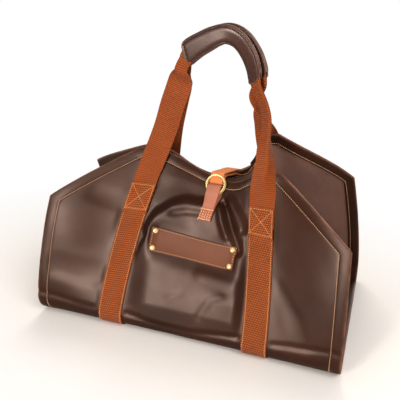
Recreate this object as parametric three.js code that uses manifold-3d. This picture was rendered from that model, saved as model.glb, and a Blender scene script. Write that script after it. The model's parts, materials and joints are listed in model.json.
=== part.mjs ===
// Log bag: one long leather sheet folded under the load, open at both ends, carried by two
// webbing handles. Two belly straps run under the base and carry the handles' sewn ends.
// A leather strap from the back edge is threaded through two rings on the front edge.
// Millimetres, +Z up, +X along the bag, front at -Y, origin under the middle of the base.
import * as THREE from 'three';
import Module from 'manifold-3d';
import { mergeVertices } from 'three/addons/utils/BufferGeometryUtils.js';

const wasm = await Module();
wasm.setup();

// Clearance between pieces that lie on each other, and the overrun of cuts
const clearance = 0.3;
const overrun = 2;

// The leather sheet, as it is cut flat: the half length runs from the middle of the base to a top edge
const sheet = {
  width: 500,
  halfLength: 431,
  thickness: 2.2,
  hemWidth: 20,
  hemRamp: 3,
  cornerCutAcross: 105,
  cornerCutUp: 90,
};

// The bag's shape as it stands: a flat base, a rounded edge, and two walls that lean together
const base = { halfDepth: 138, endSpread: 11, edgeRadius: 18, endExtraRadius: 12 };
const wall = { frontDrop: 13, backRise: 34 };
// Where straight walls would end, from the left end to the right: shares of the base's half depth
// from the middle of the bag, below zero past it
const frontTopShares = [0.25011, 0.05602, -0.07121, 0.08918, 0.35354];
const backTopShares = [0.14897, 0.01661, -0.14391, 0.15635, 0.40601];
// Half of the walls' curve in degrees, from the left end to the right
const wallCurve = [12, 2, 4, 2, 10];

// How the top edges are drawn together by the hand: the straps move inwards, the leather between
// them dips, and the sheet lies a little askew. Places are distances across the sheet.
const pull = {
  front: { gather: 31, endGather: 14, drift: 7, dip: 28, from: -135, full: 36, until: 44, to: 145 },
  back: { gather: 41, endGather: 26, drift: 3, dip: 66, from: -170, full: 75, until: 85, to: 125 },
};
const dipPowers = { middle: 2, strap: 8 };
const gatherPower = 1.5;
const driftPower = 3;
const evenFromShare = 0.5;
const skewShare = 0.038;

// Webbing: belly straps and handles
const webbing = { width: 40, thickness: 2, halfSpacing: 120, foldedWidth: 19, foldedThickness: 4.6 };
const boxStitch = { belowTop: 58, height: 44, rampBelow: 7, rampStop: 1, hingeGap: 2.6, flatTo: 10 };

// The two handle grips side by side. Their middle line lies in the X-Z plane: way along the bag,
// and height above the mean height of the stitched boxes' tops
const grip = { halfDepth: 4.9, apart: 2.6, sides: 12, squareness: 0.6, steps: 14, twist: 35 };
const gripLine = [
  { along: -39, up: 194.6 },
  { along: -24, up: 206.6 },
  { along: -9, up: 215.6 },
  { along: 8, up: 224.6 },
  { along: 27, up: 229.6 },
  { along: 45, up: 223.6 },
  { along: 60, up: 205.6 },
  { along: 69, up: 183.6 },
  { along: 71, up: 160.6 },
];
// Half the width of a grip's leather, from its left end to its right end
const gripHalfWidths = [12, 15.2, 15, 14.2, 13.6, 13.4, 13.4, 14, 13, 11.4];

// The middle of each handle leg between its stitched box and its end of the grip: the share of the
// way up, and how far it lies off the straight line there, to the right and to the back
const leg = { steps: 10, foldLength: 34, turnFromShare: 0.2, twistByShare: 0.6 };
const legLines = {
  front: {
    left: {
      twist: 0,
      way: [
        { share: 0.383, right: 0.3, back: 15.3 },
        { share: 0.605, right: 2.3, back: 9.7 },
        { share: 0.805, right: 2.5, back: 5.9 },
      ],
    },
    right: {
      twist: 32,
      way: [
        { share: 0.392, right: 5.4, back: 4.8 },
        { share: 0.629, right: 8.2, back: 7.4 },
        { share: 0.831, right: 4.9, back: 3.5 },
      ],
    },
  },
  back: {
    left: {
      twist: 0,
      way: [
        { share: 0.394, right: 2.5, back: -11.8 },
        { share: 0.611, right: 1.9, back: -7.2 },
        { share: 0.808, right: 0.3, back: -4.1 },
      ],
    },
    right: {
      twist: 0,
      way: [
        { share: 0.46, right: 3.6, back: 3.6 },
        { share: 0.673, right: 1.1, back: -2.2 },
        { share: 0.84, right: -2.2, back: -0.5 },
      ],
    },
  },
};

// The name patch and its rivets
const patch = { width: 143, height: 42, thickness: 2.2, middleUp: 288 };
const rivet = {
  inset: 6.5,
  shankDiameter: 3,
  headDiameter: 8,
  headHeight: 1.8,
  rimShare: 0.33,
  shoulderUpShare: 0.8,
  shoulderOutShare: 0.81,
  burrDiameter: 6,
  burrHeight: 1.2,
};

// The closure: two rings on a tab sewn to the front wall, and the strap threaded through them
const ring = { bore: 26, wire: 3, apart: 0.8, tilt: 1.2, around: 24, section: 6 };
const closure = {
  strapWidth: 22,
  strapThickness: 2,
  place: 22,
  belowTop: 15,
  offWall: 7.8,
  tabOffWall: 2.1,
  strapOffWall: 3,
  drift: 0.25,
  straight: 7,
  nip: 0.4,
  slack: 1.6,
  tabTurnAt: -6,
  strapTurnAt: 4.3,
  bendSteps: 8,
};
// Heights below the ring's middle where the tab lies sewn on the front wall
const tabSewn = [25, 34, 44, 54];
// Heights above the ring's middle where the strap lies sewn on the back wall
const strapSewn = [-26, -16, -7];
// The strap and its loose tongue over the top edges: the way back from the ring's middle as a
// share of the way to the back wall's top edge, and the rise above the ring's middle
const strapOver = [
  { backShare: 0.43, rise: 14 },
  { backShare: 0.68, rise: 15 },
  { backShare: 0.995, rise: 15.4 },
  { backShare: 1.29, rise: 13 },
];
const tongueOver = [
  { backShare: 0.19, rise: 15.6 },
  { backShare: 0.43, rise: 18.3 },
  { backShare: 0.7, rise: 19 },
  { backShare: 0.995, rise: 18.8 },
  { backShare: 1.29, rise: 16.4 },
  { backShare: 1.49, rise: 10 },
];
// How finely a height is searched for on a wall
const search = { passes: 12, halvings: 30 };

// Colours and finishes
const finish = {
  leather: { color: 0x5a3b30, roughness: 0.45, metalness: 0 },
  gripLeather: { color: 0x3c2720, roughness: 0.45, metalness: 0 },
  webbing: { color: 0xa8562a, roughness: 0.85, metalness: 0 },
  tan: { color: 0xb5683f, roughness: 0.6, metalness: 0 },
  brass: { color: 0xd9b96a, roughness: 0.25, metalness: 1 },
};

const radians = THREE.MathUtils.degToRad;
const frontSide = -1;
const backSide = 1;
const quarterTurn = Math.PI / 2;
const strapInner = webbing.halfSpacing - webbing.width / 2;
const strapOuter = webbing.halfSpacing + webbing.width / 2;
const patchHalf = patch.width / 2;

// The lean from upright, in radians, that ends a straight wall at its share of the half depth
function leans(topShares) {
  return topShares.map((share, station) => {
    const out = ((2 * station) / (topShares.length - 1) - 1) ** 2;
    const foot = base.halfDepth + base.endSpread * out;
    return Math.asin((foot - share * base.halfDepth) / (sheet.halfLength - base.halfDepth));
  });
}
const frontLeans = leans(frontTopShares);
const backLeans = leans(backTopShares);

// Eased value of a row of stations spread evenly from the left end to the right end
function alongBag(stations, u) {
  const place = ((u / sheet.width) + 0.5) * (stations.length - 1);
  const first = Math.min(stations.length - 2, Math.max(0, Math.floor(place)));
  const share = THREE.MathUtils.smoothstep(place - first, 0, 1);
  return THREE.MathUtils.lerp(stations[first], stations[first + 1], share);
}

// The cross-section at u: base flat, edge radius, then a wall that curves gently
function section(u, side) {
  const out = Math.min(1, Math.abs(u) / (sheet.width / 2)) ** 2;
  const radius = base.edgeRadius + base.endExtraRadius * out;
  const flat = base.halfDepth + base.endSpread * out - radius;
  const lean = alongBag(side < 0 ? frontLeans : backLeans, u);
  const curve = radians(alongBag(wallCurve, u));
  const start = quarterTurn + lean - curve;
  const wallStart = flat + radius * start;
  return { radius, flat, curve, start, wallStart, wallLength: sheet.halfLength - wallStart };
}

// How far the right end of the sheet has slipped from the front wall to the back wall
function slip(u, side) {
  const share = THREE.MathUtils.smoothstep(u, -webbing.halfSpacing, webbing.halfSpacing);
  return share * (side < 0 ? -wall.frontDrop : wall.backRise);
}

// How far the sheet dips between the straps: most at its top edge, and later beside a strap
function dip(u, share, hand) {
  const falls = THREE.MathUtils.smoothstep(u, hand.from, hand.full);
  const rises = THREE.MathUtils.smoothstep(u, hand.until, hand.to);
  const beside = THREE.MathUtils.clamp((Math.abs(u) - patchHalf) / (strapInner - patchHalf), 0, 1);
  const power = THREE.MathUtils.lerp(dipPowers.middle, dipPowers.strap, beside);
  return hand.dip * falls * (1 - rises) * share ** power;
}

// How far a point moves along the bag: drawn inwards by the straps, and askew at the ends
function shift(u, a, share, hand) {
  const between = Math.min(1, Math.abs(u) / webbing.halfSpacing);
  const past = (Math.abs(u) - patchHalf) / (webbing.halfSpacing - patchHalf);
  const beside = THREE.MathUtils.clamp(past, 0, 1);
  const spread = THREE.MathUtils.lerp(beside, between, THREE.MathUtils.smoothstep(share, evenFromShare, 1));
  const room = sheet.width / 2 - webbing.halfSpacing;
  const outside = THREE.MathUtils.clamp((Math.abs(u) - webbing.halfSpacing) / room, 0, 1);
  const gather = THREE.MathUtils.lerp(hand.gather, hand.endGather, outside) * spread;
  const skew = skewShare * outside * Math.max(0, a + base.halfDepth);
  const drift = hand.drift * share ** driftPower * (1 - outside);
  return drift - Math.sign(u) * gather * share ** gatherPower - skew;
}

// A point of the sheet's outer face: u across the sheet, a along it, below zero at the front
function outerPoint(u, a) {
  const side = a < 0 ? frontSide : backSide;
  const hand = side < 0 ? pull.front : pull.back;
  const s = Math.abs(a);
  const cut = section(u, side);
  const floor = webbing.thickness + clearance;
  if (s <= cut.flat) return new THREE.Vector3(u + shift(u, a, 0, hand), side * s, floor);
  const turn = Math.min(s - cut.flat, cut.radius * cut.start) / cut.radius;
  const foot = cut.flat + cut.radius * Math.sin(turn);
  const footHeight = floor + cut.radius * (1 - Math.cos(turn));
  if (s <= cut.wallStart) return new THREE.Vector3(u + shift(u, a, 0, hand), side * foot, footHeight);
  const share = (s - cut.wallStart) / cut.wallLength;
  const up = cut.wallLength * share + slip(u, side) * share - dip(u, share, hand);
  const halfTurn = (cut.curve * up) / cut.wallLength;
  const chord = halfTurn === 0 ? up : (up * Math.sin(halfTurn)) / halfTurn;
  const heading = cut.start + halfTurn;
  const x = u + shift(u, a, share, hand);
  return new THREE.Vector3(
    x,
    side * (foot + chord * Math.cos(heading)),
    footHeight + chord * Math.sin(heading),
  );
}

// Outward normal of the sheet, by small steps that stay on one wall
function outerNormal(u, a) {
  const step = clearance;
  const inner = a < 0 ? a + step : a - step;
  const along = outerPoint(u, Math.max(a, inner)).sub(outerPoint(u, Math.min(a, inner)));
  const across = outerPoint(u + step, a).sub(outerPoint(u - step, a));
  return along.cross(across).normalize();
}

function onSheet(u, a, offset) {
  return outerPoint(u, a).addScaledVector(outerNormal(u, a), offset);
}

// A closed mesh from points and triangles, turned so that its faces point out
function closedMesh(points, triangles) {
  let volume = 0;
  for (const [i, j, k] of triangles) {
    volume += points[i].dot(new THREE.Vector3().crossVectors(points[j], points[k]));
  }
  const index = triangles.flatMap(([i, j, k]) => (volume < 0 ? [i, k, j] : [i, j, k]));
  const geometry = new THREE.BufferGeometry();
  geometry.setAttribute(
    'position',
    new THREE.Float32BufferAttribute(points.flatMap((p) => [p.x, p.y, p.z]), 3),
  );
  geometry.setIndex(index);
  return geometry;
}

// A layer lying along the sheet: rows of points between an inner and an outer offset
function layer(rows, columnsAt, innerOffset, outerOffset) {
  const points = [];
  const triangles = [];
  const count = columnsAt(rows[0]).length;
  for (const offset of [outerOffset, innerOffset]) {
    for (const a of rows) {
      columnsAt(a).forEach((u, column) => points.push(onSheet(u, a, offset(a, column, count))));
    }
  }
  const at = (face, row, column) => (face * rows.length + row) * count + column;
  for (let row = 0; row + 1 < rows.length; row += 1) {
    for (let column = 0; column + 1 < count; column += 1) {
      const [p, q] = [at(0, row, column), at(0, row, column + 1)];
      const [r, s] = [at(0, row + 1, column), at(0, row + 1, column + 1)];
      triangles.push([p, q, s], [p, s, r]);
      const shift = rows.length * count;
      triangles.push([p + shift, s + shift, q + shift], [p + shift, r + shift, s + shift]);
    }
  }
  const rim = [];
  for (let column = 0; column < count - 1; column += 1) rim.push([0, column]);
  for (let row = 0; row < rows.length - 1; row += 1) rim.push([row, count - 1]);
  for (let column = count - 1; column > 0; column -= 1) rim.push([rows.length - 1, column]);
  for (let row = rows.length - 1; row > 0; row -= 1) rim.push([row, 0]);
  rim.forEach(([row, column], i) => {
    const [nextRow, nextColumn] = rim[(i + 1) % rim.length];
    const [p, q] = [at(0, row, column), at(0, nextRow, nextColumn)];
    const [r, s] = [at(1, row, column), at(1, nextRow, nextColumn)];
    triangles.push([p, s, q], [p, r, s]);
  });
  return closedMesh(points, triangles);
}

// Rings of points joined one after another: a solid bar, or a sleeve when it has an inner ring
function loft(outerRings, innerRings) {
  const rings = innerRings ? [...outerRings, ...innerRings] : outerRings;
  const points = rings.flat();
  const starts = [];
  rings.reduce((start, r) => (starts.push(start), start + r.length), 0);
  const triangles = [];
  const skin = (first, last, flip) => {
    for (let i = first; i < last; i += 1) {
      const n = rings[i].length;
      for (let k = 0; k < n; k += 1) {
        const [p, q] = [starts[i] + k, starts[i] + ((k + 1) % n)];
        const [r, s] = [starts[i + 1] + k, starts[i + 1] + ((k + 1) % n)];
        if (flip) triangles.push([p, s, q], [p, r, s]);
        else triangles.push([p, q, s], [p, s, r]);
      }
    }
  };
  const last = outerRings.length - 1;
  skin(0, last, false);
  if (!innerRings) {
    const n = rings[0].length;
    for (let k = 0; k < n / 2 - 1; k += 1) {
      const [a, b, c, d] = [k, k + 1, n - 2 - k, n - 1 - k];
      for (const [i, j, m] of [[a, b, c], [a, c, d]]) {
        triangles.push([starts[0] + i, starts[0] + m, starts[0] + j]);
        triangles.push([starts[last] + i, starts[last] + j, starts[last] + m]);
      }
    }
    return closedMesh(points, triangles);
  }
  skin(last + 1, rings.length - 1, true);
  const n = rings[0].length;
  for (let k = 0; k < n; k += 1) {
    const next = (k + 1) % n;
    const [a0, a1, b0, b1] = [starts[0], starts[last], starts[last + 1], starts[rings.length - 1]];
    triangles.push([a0 + k, b0 + next, a0 + next], [a0 + k, b0 + k, b0 + next]);
    triangles.push([a1 + k, a1 + next, b1 + next], [a1 + k, b1 + next, b1 + k]);
  }
  return closedMesh(points, triangles);
}

// Rows along the sheet that every piece on it shares, so that their facets run alike
const top = sheet.halfLength;
const boxTop = top - boxStitch.belowTop;
const boxBottom = boxTop - boxStitch.height;
const patchBottom = patch.middleUp - patch.height / 2;
const patchTop = patch.middleUp + patch.height / 2;
const edgeStart = base.halfDepth - base.edgeRadius;
const baseShares = [0, 0.33, 0.67];
const lowerWallShares = [0.3, 0.62];
const edgeSteps = 6;
const edgeStep = (base.edgeRadius * Math.PI) / 2 / (edgeSteps - 2);
const cornerStart = top - sheet.cornerCutUp;
function sheetRows() {
  const rows = baseShares.map((share) => share * edgeStart);
  for (let i = -1; i <= edgeSteps; i += 1) rows.push(edgeStart + i * edgeStep);
  const bendEnd = edgeStart + edgeSteps * edgeStep;
  for (const share of lowerWallShares) rows.push(THREE.MathUtils.lerp(bendEnd, patchBottom, share));
  rows.push(patchBottom, patch.middleUp, patchTop);
  rows.push((patchTop + boxBottom - boxStitch.rampBelow) / 2);
  rows.push(boxBottom - boxStitch.rampBelow, boxBottom - boxStitch.rampStop, cornerStart);
  rows.push((cornerStart + boxTop) / 2, boxTop, boxTop + boxStitch.hingeGap);
  rows.push((boxTop + top - sheet.hemWidth) / 2);
  rows.push(top - sheet.hemWidth - sheet.hemRamp, top - sheet.hemWidth, top);
  return rows;
}
const halfRows = sheetRows();
const allRows = [...halfRows.slice(1).reverse().map((a) => -a), ...halfRows];
const rowsBetween = (low, high) => allRows.filter((a) => a >= low - clearance && a <= high + clearance);

function sheetHalfWidthAt(a) {
  const beyond = Math.max(0, Math.abs(a) - cornerStart);
  return sheet.width / 2 - (sheet.cornerCutAcross * beyond) / sheet.cornerCutUp;
}

// Columns across the sheet: patch, strap edges and hem lines are all on them
function sheetColumns(a) {
  const edge = sheetHalfWidthAt(a);
  const slant = Math.hypot(sheet.cornerCutAcross, sheet.cornerCutUp) / sheet.cornerCutUp;
  const hem = sheet.hemWidth * (Math.abs(a) > cornerStart ? slant : 1);
  const room = edge - strapOuter;
  const hemLine = Math.max(edge - hem, strapOuter + room / 2);
  const hemStart = Math.max(hemLine - sheet.hemRamp, strapOuter + room / 4);
  const half = [patchHalf / 2, patchHalf, strapInner, webbing.halfSpacing, strapOuter, hemStart, hemLine, edge];
  return [...half.map((u) => -u).reverse(), 0, ...half];
}

function sheetThickness(a, column, count) {
  const inHem = column <= 1 || column >= count - 2 || Math.abs(a) >= top - sheet.hemWidth;
  return -sheet.thickness * (inHem ? 2 : 1);
}

// Booleans on finished solids
function toManifold(geometry) {
  const bare = geometry.clone();
  bare.deleteAttribute('normal');
  bare.deleteAttribute('uv');
  const merged = mergeVertices(bare);
  return new wasm.Manifold(
    new wasm.Mesh({
      numProp: 3,
      vertProperties: new Float32Array(merged.attributes.position.array),
      triVerts: new Uint32Array(merged.index.array),
    }),
  );
}

function toGeometry(solid) {
  const mesh = solid.getMesh();
  const geometry = new THREE.BufferGeometry();
  geometry.setAttribute('position', new THREE.Float32BufferAttribute(mesh.vertProperties, 3));
  geometry.setIndex(new THREE.Uint32BufferAttribute(mesh.triVerts, 1));
  return geometry;
}

// Rivets: where they sit, and a round solid turned to stand on the sheet there
const rivetSegments = 14;
const rivetPlaces = [];
for (const [end, sideways] of [['left', -1], ['right', 1]]) {
  for (const [level, s] of [['low', patchBottom + rivet.inset], ['high', patchTop - rivet.inset]]) {
    rivetPlaces.push({ name: `${end}_${level}`, u: sideways * (patchHalf - rivet.inset), a: -s });
  }
}
function onRivet(geometry, place) {
  const turn = new THREE.Quaternion().setFromUnitVectors(
    new THREE.Vector3(0, 1, 0),
    outerNormal(place.u, place.a),
  );
  const put = new THREE.Matrix4().compose(
    outerPoint(place.u, place.a),
    turn,
    new THREE.Vector3(1, 1, 1),
  );
  return geometry.applyMatrix4(put);
}
function turned(profile) {
  return new THREE.LatheGeometry(profile.map(([r, y]) => new THREE.Vector2(r, y)), rivetSegments);
}
const patchOffset = clearance;
const headSeat = patchOffset + patch.thickness + clearance;
const burrSeat = -sheet.thickness - clearance;
function rivetSolid() {
  const head = rivet.headDiameter / 2;
  const shank = rivet.shankDiameter / 2;
  return turned([
    [0, burrSeat - rivet.burrHeight],
    [shank, burrSeat - rivet.burrHeight],
    [shank, headSeat],
    [head, headSeat],
    [head, headSeat + rivet.headHeight * rivet.rimShare],
    [head * rivet.shoulderOutShare, headSeat + rivet.headHeight * rivet.shoulderUpShare],
    [0, headSeat + rivet.headHeight],
  ]);
}
function burrSolid() {
  const hole = rivet.shankDiameter / 2 + clearance;
  const rim = rivet.burrDiameter / 2;
  return turned([
    [hole, burrSeat - rivet.burrHeight],
    [rim, burrSeat - rivet.burrHeight],
    [rim, burrSeat],
    [hole, burrSeat],
    [hole, burrSeat - rivet.burrHeight],
  ]);
}
function drilled(geometry) {
  const radius = rivet.shankDiameter / 2 + clearance;
  const depth = headSeat - burrSeat + 2 * overrun;
  let solid = toManifold(geometry);
  for (const place of rivetPlaces) {
    const drill = new THREE.CylinderGeometry(radius, radius, depth, rivetSegments);
    solid = solid.subtract(toManifold(onRivet(drill, place)));
  }
  return toGeometry(solid);
}

// Straps on the sheet
function strapColumns(sideways) {
  const columns = [strapInner, webbing.halfSpacing, strapOuter].map((u) => u * sideways);
  return columns.sort((p, q) => p - q);
}
const overWebbing = 2 * clearance + webbing.thickness;
function bellyStrap(sideways) {
  const lift = (a) => (Math.abs(a) >= boxBottom - boxStitch.rampStop - clearance ? overWebbing : clearance);
  const rows = rowsBetween(-boxTop, boxTop);
  const columns = strapColumns(sideways);
  return layer(rows, () => columns, lift, (a) => lift(a) + webbing.thickness);
}
function handleEnd(sideways, side) {
  const ends = [side * cornerStart, side * boxTop].sort((p, q) => p - q);
  const columns = strapColumns(sideways);
  return layer(rowsBetween(ends[0], ends[1]), () => columns, () => clearance, () => clearance + webbing.thickness);
}

// Handles: the webbing leaves the sheet, runs up the legs and through the grip as one loop
const boxTops = [frontSide, backSide].flatMap((side) =>
  [-1, 1].map((sideways) => outerPoint(sideways * webbing.halfSpacing, side * boxTop).z),
);
const boxTopHeight = boxTops.reduce((sum, z) => sum + z) / boxTops.length;
const gripCurve = new THREE.CatmullRomCurve3(
  gripLine.map((p) => new THREE.Vector3(p.along, 0, boxTopHeight + p.up)),
);
function frame(point, tangent, normal) {
  const across = new THREE.Vector3().crossVectors(tangent, normal).normalize();
  const out = new THREE.Vector3().crossVectors(across, tangent).normalize();
  return { point, tangent, across, out };
}
function gripFrames(side) {
  const frames = [];
  for (let i = 0; i <= grip.steps; i += 1) {
    const share = i / grip.steps;
    const twist = radians(grip.twist) * share;
    const normal = new THREE.Vector3(-Math.sin(twist), -Math.cos(twist), 0).multiplyScalar(-side);
    const at = frame(gripCurve.getPointAt(share), gripCurve.getTangentAt(share), normal);
    at.point.addScaledVector(at.out, grip.halfDepth + grip.apart / 2);
    frames.push(at);
  }
  return frames;
}
// Points round a flat webbing section: across on the outer face, then back on the inner face
function flatRing(at, width, thickness) {
  return [[-1, 1], [0, 1], [1, 1], [1, -1], [0, -1], [-1, -1]].map(([w, t]) => {
    const point = at.point.clone().addScaledVector(at.across, (w * width) / 2);
    return point.addScaledVector(at.out, (t * thickness) / 2);
  });
}
function roundRing(at, halfWidth, halfDepth, squareness) {
  const points = [];
  for (let i = 0; i < grip.sides; i += 1) {
    const angle = Math.PI - (i + 0.5) * ((2 * Math.PI) / grip.sides);
    const [c, s] = [Math.cos(angle), Math.sin(angle)];
    const w = Math.sign(c) * Math.abs(c) ** squareness * halfWidth;
    const t = Math.sign(s) * Math.abs(s) ** squareness * halfDepth;
    const point = at.point.clone().addScaledVector(at.across, w);
    points.push(point.addScaledVector(at.out, t));
  }
  return points;
}
function boreRing(at) {
  const w = webbing.foldedWidth / 2 + clearance;
  const t = webbing.foldedThickness / 2 + clearance;
  const points = [];
  for (let i = 0; i < grip.sides; i += 1) {
    const angle = Math.PI - (i + 0.5) * ((2 * Math.PI) / grip.sides);
    const [c, s] = [Math.cos(angle), Math.sin(angle)];
    const reach = 1 / Math.max(Math.abs(c) / w, Math.abs(s) / t);
    const point = at.point.clone().addScaledVector(at.across, reach * c);
    points.push(point.addScaledVector(at.out, reach * s));
  }
  return points;
}
function onSheetRing(u, a, step) {
  const [low, high] = [clearance, clearance + webbing.thickness];
  const columns = [u - (step * webbing.width) / 2, u, u + (step * webbing.width) / 2];
  return [
    ...columns.map((c) => onSheet(c, a, high)),
    ...columns.reverse().map((c) => onSheet(c, a, low)),
  ];
}
// A leg from the sheet up to an end of the grip, drawn upwards
function legRings(sideways, side, gripEnd, line) {
  const u = sideways * webbing.halfSpacing;
  const [first, next] = [boxTop + boxStitch.hingeGap, boxTop + boxStitch.flatTo];
  const sheetRings = [first, next].map((s) => onSheetRing(u, side * s, -side));
  const mid = clearance + webbing.thickness / 2;
  const start = onSheet(u, side * next, mid);
  const curve = new THREE.CatmullRomCurve3([
    onSheet(u, side * first, mid),
    start,
    ...line.way.map(({ share, right, back }) =>
      start.clone().lerp(gripEnd.point, share).add(new THREE.Vector3(right, back, 0)),
    ),
    gripEnd.point,
    gripEnd.point.clone().addScaledVector(gripEnd.tangent, webbing.foldedWidth),
  ]);
  const last = line.way.length + 3;
  const startShare = 1 / last;
  const endShare = (last - 1) / last;
  const startNormal = outerNormal(u, side * next);
  const freeRings = [];
  for (let i = 1; i < leg.steps; i += 1) {
    const share = i / leg.steps;
    const t = THREE.MathUtils.lerp(startShare, endShare, share);
    const point = curve.getPoint(t);
    const tangent = curve.getTangent(t);
    const eased = THREE.MathUtils.smoothstep(share, leg.turnFromShare, 1);
    const normal = startNormal.clone().lerp(gripEnd.out, eased).normalize();
    const swing = Math.sin(Math.PI * share) * THREE.MathUtils.smoothstep(share, 0, leg.twistByShare);
    normal.applyAxisAngle(tangent, side * radians(line.twist) * swing);
    const fold = 1 - THREE.MathUtils.smoothstep(point.distanceTo(gripEnd.point), 0, leg.foldLength);
    const width = THREE.MathUtils.lerp(webbing.width, webbing.foldedWidth, fold);
    const thickness = THREE.MathUtils.lerp(webbing.thickness, webbing.foldedThickness, fold);
    freeRings.push(flatRing(frame(point, tangent, normal), width, thickness));
  }
  return [...sheetRings, ...freeRings];
}

// The front handle is drawn from left to right and the back handle from right to left
function handlePieces(name, side) {
  const frames = gripFrames(side);
  const turnedRound = (f) => {
    return { ...f, tangent: f.tangent.clone().negate(), across: f.across.clone().negate() };
  };
  const ordered = side < 0 ? frames : [...frames].reverse().map(turnedRound);
  const lines = legLines[name];
  const [firstWay, lastWay] = side < 0 ? ['left', 'right'] : ['right', 'left'];
  const end = turnedRound(ordered[ordered.length - 1]);
  const up = legRings(side, side, ordered[0], lines[firstWay]);
  const down = legRings(-side, side, end, lines[lastWay]);
  const middle = ordered.map((f) => flatRing(f, webbing.foldedWidth, webbing.foldedThickness));
  const mirrored = (r) => [r[2], r[1], r[0], r[5], r[4], r[3]];
  const loop = loft([...up, ...middle, ...down.reverse().map(mirrored)]);
  const widths = side < 0 ? gripHalfWidths : [...gripHalfWidths].reverse();
  const halfWidthAt = (i) => {
    const place = (i / grip.steps) * (widths.length - 1);
    const first = Math.min(widths.length - 2, Math.floor(place));
    return THREE.MathUtils.lerp(widths[first], widths[first + 1], place - first);
  };
  const sleeve = loft(
    ordered.map((f, i) => roundRing(f, halfWidthAt(i), grip.halfDepth, grip.squareness)),
    ordered.map(boreRing),
  );
  return { loop, sleeve };
}

// The closure lies along one line in plan: x drifts with the way back from the ring's middle
const ringMiddle = onSheet(closure.place, closure.belowTop - top, closure.offWall);
const wallNormal = outerNormal(closure.place, closure.belowTop - top);
const offWall = new THREE.Vector2(wallNormal.y, wallNormal.z).normalize();
const alongWall = new THREE.Vector2(offWall.y, -offWall.x);
function closurePoint(v, n) {
  const middle = new THREE.Vector2(ringMiddle.y, ringMiddle.z);
  return middle.addScaledVector(alongWall, v).addScaledVector(offWall, n);
}
function closureX(back) {
  const away = back - ringMiddle.y;
  const past = away - THREE.MathUtils.clamp(away, -closure.straight, closure.straight);
  return ringMiddle.x + closure.drift * past;
}

// The outermost point of a wall at a height, across the width of the strap that lies there
function onWall(side, height, offset) {
  let best;
  for (const across of [-closure.strapWidth / 2, 0, closure.strapWidth / 2]) {
    let u = ringMiddle.x;
    let point = ringMiddle;
    let s = top;
    for (let pass = 0; pass < search.passes; pass += 1) {
      let [low, high] = [top / 2, top + ring.bore];
      for (let i = 0; i < search.halvings; i += 1) {
        s = (low + high) / 2;
        point = outerPoint(u, side * s);
        if (point.z < height) low = s;
        else high = s;
      }
      u += closureX(point.y) + across - point.x;
    }
    const normal = outerNormal(u, side * s);
    const off = new THREE.Vector2(normal.y, normal.z).normalize();
    const here = new THREE.Vector2(point.y, point.z).addScaledVector(off, offset);
    if (!best || side * here.x > side * best.x) best = here;
  }
  return best;
}

// A strap drawn by its middle line in the Y-Z plane, given its thickness and extruded across
function strip(line) {
  const half = closure.strapThickness / 2;
  const left = [];
  const right = [];
  line.forEach((p, i) => {
    const before = line[Math.max(0, i - 1)];
    const after = line[Math.min(line.length - 1, i + 1)];
    const way = after.clone().sub(before).normalize();
    const sideways = new THREE.Vector2(-way.y, way.x).multiplyScalar(half);
    left.push(p.clone().add(sideways));
    right.push(p.clone().sub(sideways));
  });
  const outline = new THREE.Shape([...left, ...right.reverse()]);
  const settings = { depth: closure.strapWidth, bevelEnabled: false, steps: 1 };
  const bare = new THREE.BufferGeometry();
  const drawn = new THREE.ExtrudeGeometry(outline, settings).attributes.position;
  for (let i = 0; i < drawn.count; i += 1) {
    const [back, height, across] = [drawn.getX(i), drawn.getY(i), drawn.getZ(i)];
    drawn.setXYZ(i, closureX(back) + across - closure.strapWidth / 2, back, height);
  }
  bare.setAttribute('position', drawn);
  return mergeVertices(bare);
}
function arc(v, n, radius, from, to) {
  const points = [];
  for (let i = 0; i <= closure.bendSteps; i += 1) {
    const angle = THREE.MathUtils.lerp(from, to, i / closure.bendSteps);
    points.push(closurePoint(v + radius * Math.cos(angle), n + radius * Math.sin(angle)));
  }
  return points;
}
const wayBack = outerPoint(closure.place, top).y - ringMiddle.y;
function fromRing(list) {
  return list.map(({ backShare, rise }) => {
    return new THREE.Vector2(ringMiddle.y + backShare * wayBack, ringMiddle.z + rise);
  });
}

const wireRadius = ring.wire / 2;
const ringRadius = ring.bore / 2 + wireRadius;
const halfStrap = closure.strapThickness / 2;
// Distances off the wall, from the ring's middle, of the lower and the tilted upper ring
const lowerRing = -wireRadius - ring.apart / 4;
const upperRing = -lowerRing + ring.apart / 2 + ring.tilt;
const behindRings = lowerRing - wireRadius - closure.nip - halfStrap;

// The tab: up the wall, round both lower wires, and down again behind them
function tabLine() {
  const front = upperRing - ring.tilt + wireRadius + closure.slack + halfStrap;
  const middle = (front + behindRings) / 2;
  const turn = arc(closure.tabTurnAt, middle, (front - behindRings) / 2, quarterTurn, -quarterTurn);
  const under = closure.tabOffWall + halfStrap;
  const over = under + closure.strapThickness + clearance;
  const pastWires = -ringRadius - wireRadius - closure.nip;
  const down = tabSewn.map((below) => onWall(frontSide, ringMiddle.z - below, under));
  const up = tabSewn.map((below) => onWall(frontSide, ringMiddle.z - below, over)).reverse();
  return [...up, closurePoint(pastWires, front), ...turn, closurePoint(pastWires, behindRings), ...down];
}

// The strap: from the back wall over both top edges, down behind the rings, round the lower
// ring's upper wire, up between the rings and away as a loose tongue
function strapLine() {
  const between = 2 * lowerRing - behindRings;
  const radius = lowerRing - behindRings;
  const turn = arc(closure.strapTurnAt, lowerRing, radius, -quarterTurn, -3 * quarterTurn);
  const off = closure.strapOffWall + halfStrap;
  const sewn = strapSewn.map((above) => onWall(backSide, ringMiddle.z + above, off));
  const way = [...sewn, ...fromRing(strapOver).reverse(), closurePoint(ringRadius, behindRings), turn[0]];
  const over = new THREE.SplineCurve(way).getPoints(closure.bendSteps * 2);
  const loose = [turn[turn.length - 1], closurePoint(ringRadius, between), ...fromRing(tongueOver)];
  const tongue = new THREE.SplineCurve(loose).getPoints(closure.bendSteps * 2);
  return [...over.slice(0, -1), ...turn, ...tongue.slice(1)];
}

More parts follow.
